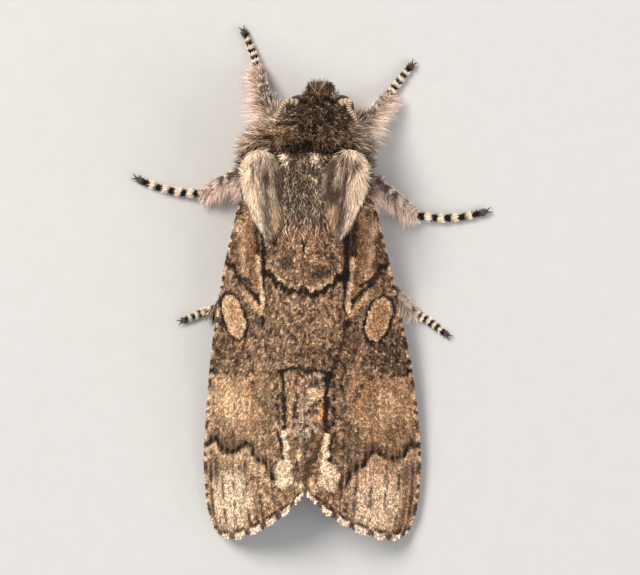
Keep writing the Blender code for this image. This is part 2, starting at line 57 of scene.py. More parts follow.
BLACK, SOOT, UMBER = dye(27, 20, 15), dye(53, 40, 30), dye(88, 68, 51)
DRAB, TAN, SAND = dye(124, 98, 76), dye(160, 127, 99), dye(198, 161, 126)
CREAM, IVORY, OCHRE = dye(226, 197, 160), dye(243, 224, 202), dye(198, 140, 78)
ROSE, ASH, SLATE = dye(172, 130, 106), dye(176, 158, 140), dye(122, 116, 118)


# Shapes of the body in millimetres, as in the solids

HEAD_AT, HEAD_SIZE = (-0.65, -8.5, 2.75), (1.2, 1.0, 1.22)
COLLAR_AT, COLLAR_SIZE = (0.0, -6.85, 3.05), (2.95, 2.2, 2.65)
THORAX_AT, THORAX_SIZE = (0.0, -4.75, 3.35), (2.15, 3.1, 2.35)
COLLAR_REAR, COLLAR_BOTTOM, HOOD_END, ABDOMEN_START = 0.08, 1.45, -6.62, -2.8
HOOD_TAPER, HOOD_TAPER_FROM, HOOD_TAPER_LENGTH = 0.33, -6.3, 1.6
NECK_BEND_FROM, NECK_BEND_LENGTH = -6.9, 1.7
EYE_AT, EYE_RADIUS = (1.05, -8.75, 2.4), 0.68
TEGULA_AT, TEGULA_SIZE, TEGULA_BEND = (2.14, -4.45, 5.0), (1.3, 2.15, 0.42), 0.3
TEGULA_TURN, TEGULA_LEAN = math.radians(9), math.radians(41)
ABDOMEN = np.array([
    (-2.9, 2.55, 1.3, 1.3), (-1.5, 2.45, 1.5, 1.5), (1.0, 2.3, 1.55, 1.5), (4.0, 2.05, 1.4, 1.3),
    (6.8, 1.75, 1.05, 0.95), (9.2, 1.45, 0.32, 0.32),
])
LEGS = {
    "fore_leg_left": (
        (0.7, -6.6, 2.0), (2.2, -9.4, 1.6), (2.6, -10.95, 0.42), (2.88, -11.8, 0.2), (3.34, -12.8, 0.2),
    ),
    "fore_leg_right": (
        (-0.7, -6.6, 2.0), (-3.15, -8.35, 1.6), (-4.0, -9.5, 0.42), (-4.5, -10.2, 0.2), (-5.2, -11.05, 0.2),
    ),
    "mid_leg_left": (
        (0.8, -4.6, 1.6), (3.45, -5.5, 1.65), (5.45, -4.55, 0.5), (7.1, -4.5, 0.2), (8.78, -5.33, 0.2),
    ),
    "mid_leg_right": (
        (-0.8, -4.4, 1.6), (-3.5, -5.0, 1.65), (-5.4, -3.45, 0.5), (-7.1, -3.05, 0.2), (-8.95, -3.65, 0.2),
    ),
    "hind_leg_left": (
        (0.7, -2.9, 1.9), (3.1, -0.45, 0.8), (4.75, 1.2, 0.3), (5.6, 1.55, 0.2), (6.45, 1.9, 0.2),
    ),
    "hind_leg_right": (
        (-0.7, -2.9, 1.9), (-3.6, -0.3, 0.8), (-5.45, 1.55, 0.3), (-6.2, 1.98, 0.2), (-6.95, 2.6, 0.2),
    ),
}
ANTENNA = np.array([
    (1.29, -9.1, 3.6), (1.6, -9.0, 3.6), (1.95, -8.6, 3.4), (2.3, -8.15, 3.1), (2.72, -7.65, 2.75),
    (3.15, -7.1, 2.45), (3.3, -6.4, 2.25), (3.25, -5.6, 2.25), (3.15, -4.8, 2.2), (3.1, -4.1, 2.05),
    (3.1, -3.4, 1.8), (3.2, -2.4, 1.55), (3.3, -1.6, 1.45),
])
FEELER_STEPS, FEELER_SIDES, FEELER_RINGS = 460, 14, 46
PALP = np.array([(0.32, -9.25, 1.5), (0.34, -9.62, 1.62), (0.32, -9.8, 2.05), (0.28, -9.86, 2.5)])
PALP_STEPS, PALP_REACH = 16, 0.45
LEG_STEPS, FOOT_JOINTS, FOOT_LEVEL, HIND_LEG_SIZE = 32, 5, 0.21, 0.85

COSTA_EDGE = np.array([
    (2.75, -5.35), (3.2, -4.4), (3.64, -2.9), (4.05, -1.2), (4.4, 0.4), (4.7, 2.1), (4.98, 3.6),
    (5.18, 5.2), (5.35, 7.0), (5.45, 8.8), (5.38, 10.4), (5.2, 11.6), (4.85, 12.45),
])
INNER_EDGE = np.array([
    (2.35, -4.85), (1.65, -4.1), (0.85, -3.2), (0.22, -2.3), (0.03, -1.2), (0.02, 0.2), (0.02, 1.8),
    (0.02, 3.4), (0.02, 5.0), (0.02, 6.6), (0.02, 8.2), (0.02, 9.4), (0.04, 10.3),
])
OUTER_EDGE = np.array([
    (0.04, 10.3), (0.62, 10.95), (1.25, 11.5), (2.0, 12.0), (2.8, 12.42), (3.6, 12.7), (4.3, 12.75),
    (4.85, 12.45),
])
SCALLOPS, SCALLOP_DEPTH, ROOF_POWER, RIGHT_WING_SPREAD = 6.5, 0.1, 1.65, 0.03
WING_GRID, UNDER_WING_GRID = (330, 130), (60, 24)
WING_THICKNESS, RIM_THICKNESS, VEIN_HEIGHT, SCALE_LENGTH = 0.1, 0.03, 0.05, 0.125
UNDER_WING_THICKNESS, UNDER_WING_DEPTH = 0.09, 0.86
WING_HEIGHTS = np.array([
    (-5.4, 5.3, 3.05), (-2.4, 5.2, 2.55), (0.8, 5.0, 1.75), (4.0, 4.75, 1.15), (7.5, 4.4, 0.75),
    (10.3, 4.05, 0.55), (12.8, 3.7, 0.47),
])
# Each vein: its place across the wing, and the share of the wing's length that it starts at
VEINS = (
    (0.09, 0.0), (0.22, 0.42), (0.33, 0.52), (0.45, 0.0), (0.57, 0.58), (0.69, 0.0), (0.80, 0.55),
    (0.92, 0.0),
)

# The skin's fineness and the bare ring round the eyes in millimetres, the floor in metres, and shares of
# the unwrapped picture
SKIN_VOXEL, EYE_GAP = 0.07, 0.06
COAT_FLOOR, FLOOR_LEVEL, FLOOR_SIZE = 0.00001, -0.00004, 0.6
UNWRAP_FROM, UNWRAP_SIZE, BLADE_PATCH = 0.04, 0.92, 0.003


# Sums on arrays

def smooth(value, low=0.0, high=1.0):
    """0 below low and 1 above high."""
    share = np.clip((value - low) / (high - low), 0, 1)
    return share * share * (3 - 2 * share)


def fall(value, low, high):
    """1 below low and 0 above high."""
    return 1 - smooth(value, low, high)


def along(points, share):
    """Points at those shares of a smooth curve through the given ones."""
    last = len(points) - 1
    place = np.clip(share, 0, 1) * last
    index = np.minimum(place.astype(int), last - 1)
    t = (place - index)[..., None]
    a, b = points[np.maximum(index - 1, 0)], points[index]
    c, d = points[index + 1], points[np.minimum(index + 2, last)]
    bend, twist = 2 * a - 5 * b + 4 * c - d, 3 * b - a - 3 * c + d
    return 0.5 * (2 * b + (c - a) * t + bend * t ** 2 + twist * t ** 3)


def unit(vectors):
    return vectors / np.maximum(np.linalg.norm(vectors, axis=-1, keepdims=True), 1e-9)


def grid(rows, columns):
    """Shares from 0 to 1 down the rows and across the columns."""
    return np.meshgrid(np.linspace(0, 1, rows), np.linspace(0, 1, columns), indexing="ij")


def triple(x, y, z):
    """Three values or arrays as points or directions."""
    return np.stack(np.broadcast_arrays(x, y, z), axis=-1)


def hashed(i, j, seed):
    value = np.sin(i * 127.1 + j * 311.7 + seed * 74.7) * 43758.5453
    return value - np.floor(value)


def mottle(x, y, size, seed):
    """Soft patches of that size, from -1 to 1."""
    x, y = x / size, y / size
    i, j = np.floor(x), np.floor(y)
    s, t = smooth(x - i), smooth(y - j)
    low = hashed(i, j, seed) * (1 - s) + hashed(i + 1, j, seed) * s
    high = hashed(i, j + 1, seed) * (1 - s) + hashed(i + 1, j + 1, seed) * s
    return 2 * (low * (1 - t) + high * t) - 1


def spot(x, y, at, size, soft=0.25):
    """1 inside an ellipse and 0 outside, with an edge that is soft by that share of its size."""
    radius = np.hypot((x - at[0]) / size[0], (y - at[1]) / size[1])
    return fall(radius, 1 - soft, 1 + soft)


def stroke(x, y, points, width, soft=0.05):
    """1 on a line through the points and 0 beyond its width."""
    nearest = np.full(np.shape(x), 99.0)
    for (ax, ay), (bx, by) in zip(points, points[1:]):
        run, rise = bx - ax, by - ay
        share = np.clip(((x - ax) * run + (y - ay) * rise) / (run * run + rise * rise), 0, 1)
        nearest = np.minimum(nearest, np.hypot(x - ax - share * run, y - ay - share * rise))
    return fall(nearest, width / 2 - soft, width / 2 + soft)


def band(value, low, high, soft):
    """1 from low to high and 0 beyond."""
    return smooth(value, low - soft, low + soft) * fall(value, high - soft, high + soft)


def dyed(colour, mask, new):
    """The colours with a new one laid over them where the mask is."""
    return colour + np.asarray(mask)[..., None] * (new - colour)


class Paint:
    """Colours of many points, with one layer laid over the other."""

    def __init__(self, ground, x, y):
        self.x, self.y = x, y
        self.start(ground)

    def start(self, ground):
        self.colour = np.broadcast_to(ground, (*self.x.shape, 3))

    def lay(self, mask, new):
        self.colour = dyed(self.colour, mask, new)

    def dot(self, strength, new, at, size, soft=0.25, where=1):
        self.lay(strength * spot(self.x, self.y, at, size, soft) * where, new)

    def line(self, strength, new, points, width, soft=0.05, where=1):
        self.lay(strength * stroke(self.x, self.y, points, width, soft) * where, new)


# Pieces

def new_mesh(name, points, faces):
    mesh = bpy.data.meshes.new(name)
    mesh.from_pydata(np.asarray(points, dtype=float).tolist(), [], [tuple(map(int, face)) for face in faces])
    mesh.shade_smooth()
    return mesh


def note(mesh, name, values):
    """Keeps a number, a direction or a colour for each point of the mesh."""
    values = np.asarray(values, dtype=np.float32)
    kind, field = {1: ("FLOAT", "value"), 2: ("FLOAT_VECTOR", "vector")}[min(values.ndim, 2)]
    if name == "marks":
        kind, field = "FLOAT_COLOR", "color"
        values = np.concatenate([np.clip(values, 0, 1), np.ones((len(values), 1), np.float32)], axis=1)
    mesh.attributes.new(name, kind, "POINT").data.foreach_set(field, values.ravel())


def place_of(mesh):
    points = np.empty(len(mesh.vertices) * 3, np.float32)
    mesh.vertices.foreach_get("co", points)
    return points.reshape(-1, 3).astype(float)


def held(name, data):
    """An object with that data, in the scene."""
    holder = bpy.data.objects.new(name, data)
    bpy.context.scene.collection.objects.link(holder)
    return holder


def finished(name, mesh, finish, slot, nodes=()):
    """A mesh in millimetres made a piece of the moth."""
    mesh.transform(Matrix.Scale(MM, 4))
    mesh.name = name
    mesh.materials.clear()
    mesh.materials.append(finish)
    piece = held(name, mesh)
    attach(piece, BODY)
    if nodes:
        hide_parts(*nodes)


def baked(holder):
    """The object's shape with its modifiers applied; the object is removed."""
    graph = bpy.context.evaluated_depsgraph_get()
    mesh = bpy.data.meshes.new_from_object(holder.evaluated_get(graph))
    bpy.data.objects.remove(holder)
    return mesh


def grid_faces(rows, columns, closed=False):
    """Four-sided faces over rows and columns of points; closed joins the last column to the first."""
    width = columns if closed else columns - 1
    row, column = np.meshgrid(np.arange(rows - 1), np.arange(width), indexing="ij")
    here, beside = row * columns + column, row * columns + (column + 1) % columns
    return np.stack([here, beside, beside + columns, here + columns], axis=-1).reshape(-1, 4)


def capped_faces(rings, sides):
    """Faces over closed rings of points, with a fan to one more point at each end."""
    faces = list(grid_faces(rings, sides, closed=True))
    last, end = (rings - 1) * sides, rings * sides
    for index in range(sides):
        beside = (index + 1) % sides
        faces += [(beside, index, end), (last + index, last + beside, end + 1)]
    return faces


def tube_shape(path, radii, sides=12):
    """Points and faces of a round tube with closed ends."""
    ahead = unit(np.gradient(path, axis=0))
    side = unit(np.cross(ahead, np.where(np.abs(ahead[:, 2:]) > 0.9, (1.0, 0, 0), (0, 0, 1.0))))
    over = np.cross(side, ahead)
    turn = np.linspace(0, 2 * np.pi, sides, endpoint=False)[None, :, None]
    ring = np.cos(turn) * side[:, None] + np.sin(turn) * over[:, None]
    points = (path[:, None] + ring * np.asarray(radii)[:, None, None]).reshape(-1, 3)
    return np.concatenate([points, path[:1], path[-1:]]), capped_faces(len(path), sides)


def ball_shape(place, rings=40, sides=56):
    """Points and faces of a sphere whose points are moved by place()."""
    tilts, turns = np.linspace(0, np.pi, rings + 1)[1:-1], np.linspace(0, 2 * np.pi, sides, endpoint=False)
    tilt, turn = np.meshgrid(tilts, turns, indexing="ij")
    points = triple(np.sin(tilt) * np.cos(turn), np.sin(tilt) * np.sin(turn), np.cos(tilt)).reshape(-1, 3)
    return place(np.concatenate([points, [(0, 0, 1.0), (0, 0, -1.0)]])), capped_faces(rings - 1, sides)


def sheet_shape(top, bottom, left=True):
    """Points and faces of a thin closed sheet between two grids of points; a right one turns its faces."""
    rows, columns = top.shape[:2]
    count = rows * columns
    ring = np.concatenate([
        np.arange(columns), np.arange(1, rows) * columns + columns - 1,
        (rows - 1) * columns + np.arange(columns - 2, -1, -1), np.arange(rows - 2, 0, -1) * columns,
    ])
    beside = np.roll(ring, -1)
    rim = np.stack([ring, beside, beside + count, ring + count], axis=1)
    face = grid_faces(rows, columns)
    faces = np.concatenate([face, face[:, ::-1] + count, rim])
    return np.concatenate([top.reshape(-1, 3), bottom.reshape(-1, 3)]), faces if left else faces[:, ::-1]


def joined(name, *shapes):
    """Closed shapes as one mesh whose faces look outwards."""
    points, faces, first = [], [], 0
    for some, sides in shapes:
        points.append(some)
        faces += [[index + first for index in face] for face in sides]
        first += len(some)
    mesh = new_mesh(name, np.concatenate(points), faces)
    shape = bmesh.new()
    shape.from_mesh(mesh)
    bmesh.ops.recalc_face_normals(shape, faces=shape.faces)
    shape.to_mesh(mesh)
    shape.free()
    return mesh


# Node boards, for materials and for the coats

class Wire:
    """One output of a node, which sums and products can be written with."""

    def __init__(self, board, socket):
        self.board, self.socket = board, socket

    def maths(self, operation, *values):
        return self.board.node("ShaderNodeMath", {"operation": operation}, dict(enumerate(values)))

    def other(self, name):
        """Another output of the same node."""
        return Wire(self.board, self.socket.node.outputs[name])

    def __add__(self, value): return self.maths("ADD", self, value)
    def __radd__(self, value): return self.maths("ADD", value, self)
    def __sub__(self, value): return self.maths("SUBTRACT", self, value)
    def __rsub__(self, value): return self.maths("SUBTRACT", value, self)
    def __mul__(self, value): return self.maths("MULTIPLY", self, value)
    def __rmul__(self, value): return self.maths("MULTIPLY", value, self)
    def __pow__(self, value): return self.maths("POWER", self, value)


class Board:
    """A tree of nodes that is filled one node at a time."""

    def __init__(self, tree):
        self.tree = tree

    def node(self, kind, settings=None, inputs=None, output=0):
        made = self.tree.nodes.new(kind)
        for name, value in (settings or {}).items():
            setattr(made, name, value)
        for name, value in (inputs or {}).items():
            if isinstance(value, Wire):
                self.tree.links.new(value.socket, made.inputs[name])
            else:
                made.inputs[name].default_value = value
        return Wire(self, made.outputs[output]) if made.outputs else made

    def mixed(self, share, first, second, blend="MIX"):
        """Two colours mixed by a share."""
        def whole(colour):
            return colour if isinstance(colour, Wire) else (*colour, 1.0)
        return self.node(
            "ShaderNodeMix", {"data_type": "RGBA", "blend_type": blend},
            {0: share, 6: whole(first), 7: whole(second)}, 2,
        )

    def vector(self, operation, first, second, socket=1):
        return self.node("ShaderNodeVectorMath", {"operation": operation}, {0: first, socket: second})


class Finish(Board):
    """A material: a Principled shader and what feeds it."""

    def __init__(self, name):
        self.material = bpy.data.materials.new(name)
        self.material.use_nodes = True
        super().__init__(self.material.node_tree)
        self.shader = self.tree.nodes["Principled BSDF"]

    def feed(self, **values):
        for name, value in values.items():
            socket = self.shader.inputs[name.replace("_", " ")]
            if isinstance(value, Wire):
                self.tree.links.new(value.socket, socket)
            else:
                socket.default_value = value
        return self.material

    def attribute(self, name, output="Fac"):
        return self.node("ShaderNodeAttribute", {"attribute_name": name}, {}, output)

    def place(self):
        return self.node("ShaderNodeTexCoord", {}, {}, "Object")

    def noise(self, scale, detail=3.0):
        inputs = {"Vector": self.place(), "Scale": scale, "Detail": detail, "Roughness": 0.6}
        return self.node("ShaderNodeTexNoise", {}, inputs)

    def bump(self, height, strength, distance):
        return self.node("ShaderNodeBump", {}, {"Height": height, "Strength": strength, "Distance": distance})


def skin_finish(name, grain, depth, rough):
    """Marked skin or wing membrane with a fine grain."""
    paint = Finish(name)
    marks = paint.attribute("marks", "Color")
    fine = paint.noise(grain, 4.0)
    coarse = paint.noise(grain / 5, 2.0)
    shade = paint.mixed((fine - 0.5) * 1.1 + 0.5, (0.5, 0.5, 0.5), (1.35, 1.33, 1.3))
    colour = paint.mixed(1.0, marks, shade, "MULTIPLY")
    return paint.feed(
        Base_Color=colour, Roughness=coarse * 0.2 + rough, Normal=paint.bump(fine + coarse, 0.6, depth),
        Specular_IOR_Level=0.25,
    )


def coat_finish(name, dark, light, skew, tip):
    """Hair or scales: the marks of the skin below, most tufts dark and a few light, paler to their tips."""
    paint = Finish(name)
    marks, tone, rise = paint.attribute("marks", "Color"), paint.attribute("tone"), paint.attribute("rise")
    shade = (tone ** skew * (light - dark) + dark) * (rise * (tip - 1.0) + 1.0)
    grey = paint.node("ShaderNodeCombineColor", {}, {0: shade, 1: shade, 2: shade})
    colour = paint.mixed(1.0, marks, grey, "MULTIPLY")
    fine = paint.noise(90000.0, 2.0)
    return paint.feed(
        Base_Color=colour, Roughness=fine * 0.15 + 0.72, Normal=paint.bump(fine, 0.3, 0.000004),
        Specular_IOR_Level=0.2,
    )


# Blades that the coats repeat: about 1 wide, and 1 long from y = 0 to y = 1

def blade(name, points, faces, flat=False):
    """A blade's mesh, which keeps each point's share of its length and its place on its own patch."""
    mesh = new_mesh(name, points, faces)
    if flat:
        mesh.shade_flat()
    own = np.array(points, dtype=float)
    note(mesh, "rise", np.clip(own[:, 1], 0, 1))
    note(mesh, "own", triple(own[:, 0] + 0.5, own[:, 1], 0))
    return held(name, mesh)


def scale_blade():
    """Broad at its end and shallow, as a wing scale is."""
    points = [(-0.22, 0, 0), (0.22, 0, 0), (0.5, 1.0, 0.35), (-0.5, 1.0, 0.35), (0, 0.5, -0.35)]
    faces = [(0, 1, 2, 3), (1, 0, 4), (2, 1, 4), (3, 2, 4), (0, 3, 4)]
    return blade("scale_blade", points, faces, flat=True)


def hair_blade():
    """Three-sided, bent over towards its tip."""
    points, sides = [], 3
    for y, radius, lift in ((0.0, 0.5, -0.4), (0.5, 0.46, 1.2)):
        for index in range(sides):
            turn = 2 * math.pi * index / sides + math.pi / 2
            points.append((math.cos(turn) * radius, y, math.sin(turn) * radius + lift))
    points.append((0, 1.0, 0.6))
    faces = [(2, 1, 0)]
    for index in range(sides):
        beside = (index + 1) % sides
        faces += [(index, beside, sides + beside, sides + index), (sides + index, sides + beside, 2 * sides)]
    return blade("hair_blade", points, faces)


def coat_tree(name, finish):
    """Geometry Nodes that root blades over a surface, along its lie, and give out the blades alone."""
    tree = bpy.data.node_groups.new(name, "GeometryNodeTree")
    board = Board(tree)
    for label, kind in (
        ("Surface", "Geometry"), ("Blade", "Object"), ("Density", "Float"), ("Width", "Float"),
        ("Raise", "Float"), ("Scatter", "Float"), ("Seed", "Int"),
    ):
        tree.interface.new_socket(label, in_out="INPUT", socket_type="NodeSocket" + kind)
    tree.interface.new_socket("Coat", in_out="OUTPUT", socket_type="NodeSocketGeometry")
    given = board.node("NodeGroupInput")

    def kept(label, kind="FLOAT_VECTOR"):
        return board.node("GeometryNodeInputNamedAttribute", {"data_type": kind}, {"Name": label})

    def chance(low, high, seed, kind="FLOAT"):
        first, output = {"FLOAT": (2, 1), "FLOAT_VECTOR": (0, 0)}[kind]
        inputs = {first: low, first + 1: high, 8: given.other("Seed") + seed}
        return board.node("FunctionNodeRandomValue", {"data_type": kind}, inputs, output)

    roots = board.node("GeometryNodeDistributePointsOnFaces", {"distribute_method": "RANDOM"}, {
        "Mesh": given, "Density": given.other("Density") * kept("room", "FLOAT"), "Seed": given.other("Seed"),
    })
    toned = board.node("GeometryNodeStoreNamedAttribute", {"data_type": "FLOAT", "domain": "POINT"}, {
        "Geometry": roots, "Name": "tone", "Value": chance(0.0, 1.0, 1),
    })
    out = roots.other("Normal")
    lean = board.vector("SCALE", out, given.other("Raise") * chance(0.5, 1.5, 2), "Scale")
    anywhere = chance((-1, -1, -1), (1, 1, 1), 3, "FLOAT_VECTOR")
    stray = board.vector("SCALE", anywhere, given.other("Scatter"), "Scale")
    lie = board.vector("ADD", board.vector("ADD", kept("lie"), lean), stray)
    turn = board.node("FunctionNodeAxesToRotation", {"primary_axis": "Y", "secondary_axis": "Z"}, {
        "Primary Axis": lie, "Secondary Axis": out,
    })
    broad = given.other("Width") * chance(0.75, 1.25, 4)
    size = board.node("ShaderNodeCombineXYZ", {}, {
        "X": broad, "Y": kept("reach", "FLOAT") * chance(0.65, 1.25, 5), "Z": broad,
    })
    blade_socket = {"Object": given.other("Blade")}
    shown = board.node("GeometryNodeObjectInfo", {"transform_space": "ORIGINAL"}, blade_socket, "Geometry")
    blades = board.node("GeometryNodeInstanceOnPoints", {}, {
        "Points": toned, "Instance": shown, "Rotation": turn, "Scale": size,
    })
    real = board.node("GeometryNodeRealizeInstances", {}, {"Geometry": blades})
    patch = board.vector("MULTIPLY", kept("own"), (BLADE_PATCH, BLADE_PATCH, 0.0))
    mapped = board.node("GeometryNodeStoreNamedAttribute", {"data_type": "FLOAT2", "domain": "CORNER"}, {
        "Geometry": real, "Name": "OFBake", "Value": board.vector("ADD", kept("unwrap"), patch),
    })
    painted = board.node("GeometryNodeSetMaterial", {}, {"Geometry": mapped, "Material": finish})
    board.node("NodeGroupOutput", {}, {"Coat": painted})
    return tree


def coat(name, surface, tree, slot, **inputs):
    """Blades over the surface as one plain mesh, a piece of its own."""
    holder = held(name, surface.copy())
    modifier = holder.modifiers.new("coat", "NODES")
    modifier.node_group = tree
    for item in tree.interface.items_tree:
        if item.in_out == "INPUT" and item.name in inputs:
            modifier[item.identifier] = inputs[item.name]
    old = holder.data
    mesh = baked(holder)
    bpy.data.meshes.remove(old)
    for label in ("room", "lie", "reach", "unwrap", "own"):
        if label in mesh.attributes:
            mesh.attributes.remove(mesh.attributes[label])
    place = place_of(mesh)
    place[:, 2] = np.maximum(place[:, 2], COAT_FLOOR)
    mesh.vertices.foreach_set("co", place.ravel())
    finished(name, mesh, tree.nodes["Set Material"].inputs["Material"].default_value, slot)


# Wings

def costa_x(y):
    return np.interp(y, COSTA_EDGE[:, 1], COSTA_EDGE[:, 0])


def wing_spread(y, side):
    """The right wing lies a little further out to the rear."""
    return 1 - side * RIGHT_WING_SPREAD * smooth((y + 1) / 8)


def wing_surface(u, v, side):
    """The forewing's upper face: u from root to outer margin, v from inner edge to costa."""
    inner, costa = along(INNER_EDGE, u), along(COSTA_EDGE, u)
    flat = inner + (costa - inner) * v[..., None]
    corner = INNER_EDGE[-1] + (COSTA_EDGE[-1] - INNER_EDGE[-1]) * v[..., None]
    scallop = SCALLOP_DEPTH * (np.abs(np.sin(np.pi * SCALLOPS * v)) - 0.6) * np.minimum(1.0, 6 * v)
    bulge = along(OUTER_EDGE, v) - corner + scallop[..., None] * np.array([-0.2, 1.0])
    flat = flat + bulge * (u ** 5)[..., None]
    x, y = flat[..., 0], flat[..., 1]
    ridge = np.interp(y, WING_HEIGHTS[:, 0], WING_HEIGHTS[:, 1])
    edge = np.interp(y, WING_HEIGHTS[:, 0], WING_HEIGHTS[:, 2])
    z = edge + (ridge - edge) * (1 - np.clip(x / costa_x(y), 0, 1) ** ROOF_POWER)
    return triple(side * x * wing_spread(y, side), y, z)


def wing_frame(u, v, side):
    """Points of the upper face with the directions along it and out of it."""
    step = 0.004
    here = wing_surface(u, v, side)
    back, front = np.minimum(u + step, 1), np.maximum(u - step, 0)
    high, low = np.minimum(v + step, 1), np.maximum(v - step, 0)
    ahead = unit(wing_surface(back, v, side) - wing_surface(front, v, side))
    across = unit(wing_surface(u, high, side) - wing_surface(u, low, side))
    out = unit(np.cross(across, ahead))
    return here, ahead, out * np.where(out[..., 2:] < 0, -1, 1)


def vein_lift(u, v):
    lift = np.zeros_like(u)
    for place, start in VEINS:
        lift += fall(np.abs(v - place), 0.0, 0.022) * smooth((u - start + 0.02) / 0.1)
    return lift


# Lines of the forewing's pattern: distance from the midline and y
SHIELD_RIM = (
    (0.0, 0.24), (0.35, 0.36), (0.6, 0.26), (0.85, 0.24), (1.15, -0.02), (1.4, -0.12), (1.65, -0.5),
    (1.98, -0.74),
)
BASAL_LINE = ((2.03, -2.5), (2.02, -1.4), (2.0, -0.6), (2.06, 0.2), (1.98, 1.1))
FIRST_LINE = ((4.5, -1.4), (4.0, -1.1), (3.6, -0.95), (3.4, -0.5), (3.1, -0.35), (2.7, -0.1))
ARROW_OUTER = ((3.3, 0.1), (2.85, 0.55), (2.3, 1.15), (2.08, 1.5))
ARROW_EDGE = ((3.35, -0.25), (2.8, 0.15), (2.35, 0.65), (2.12, 1.1))
ARROW_INNER = ((2.17, -0.2), (2.12, 0.5), (2.08, 1.2))
PATCH_TOP = ((5.1, 4.38), (4.3, 4.36), (3.9, 4.5), (3.3, 4.42), (2.9, 4.6))
PATCH_INNER = ((2.95, 4.4), (2.75, 4.8), (2.6, 5.2), (2.45, 5.7))
BOX_TOP = ((0.0, 4.12), (0.5, 4.1), (0.9, 4.15), (1.22, 4.32))
BOX_SIDE = ((1.08, 4.3), (1.03, 5.4), (1.02, 6.4), (1.0, 7.2))
BOX_DOTS = ((1.4, 4.4), (1.36, 5.6), (1.33, 6.6), (1.36, 7.6))
CREAM_STREAK = ((1.02, 7.3), (1.0, 7.9), (0.92, 8.75))
STREAK_EDGE = ((1.22, 7.5), (1.16, 8.1), (1.14, 8.7))
SECOND_LINE = (
    (5.2, 8.0), (4.72, 7.6), (4.38, 8.28), (3.7, 8.32), (3.39, 8.08), (3.0, 7.83), (2.72, 8.16), (2.58, 8.6),
    (2.22, 8.67), (1.92, 9.1), (1.62, 9.6),
)


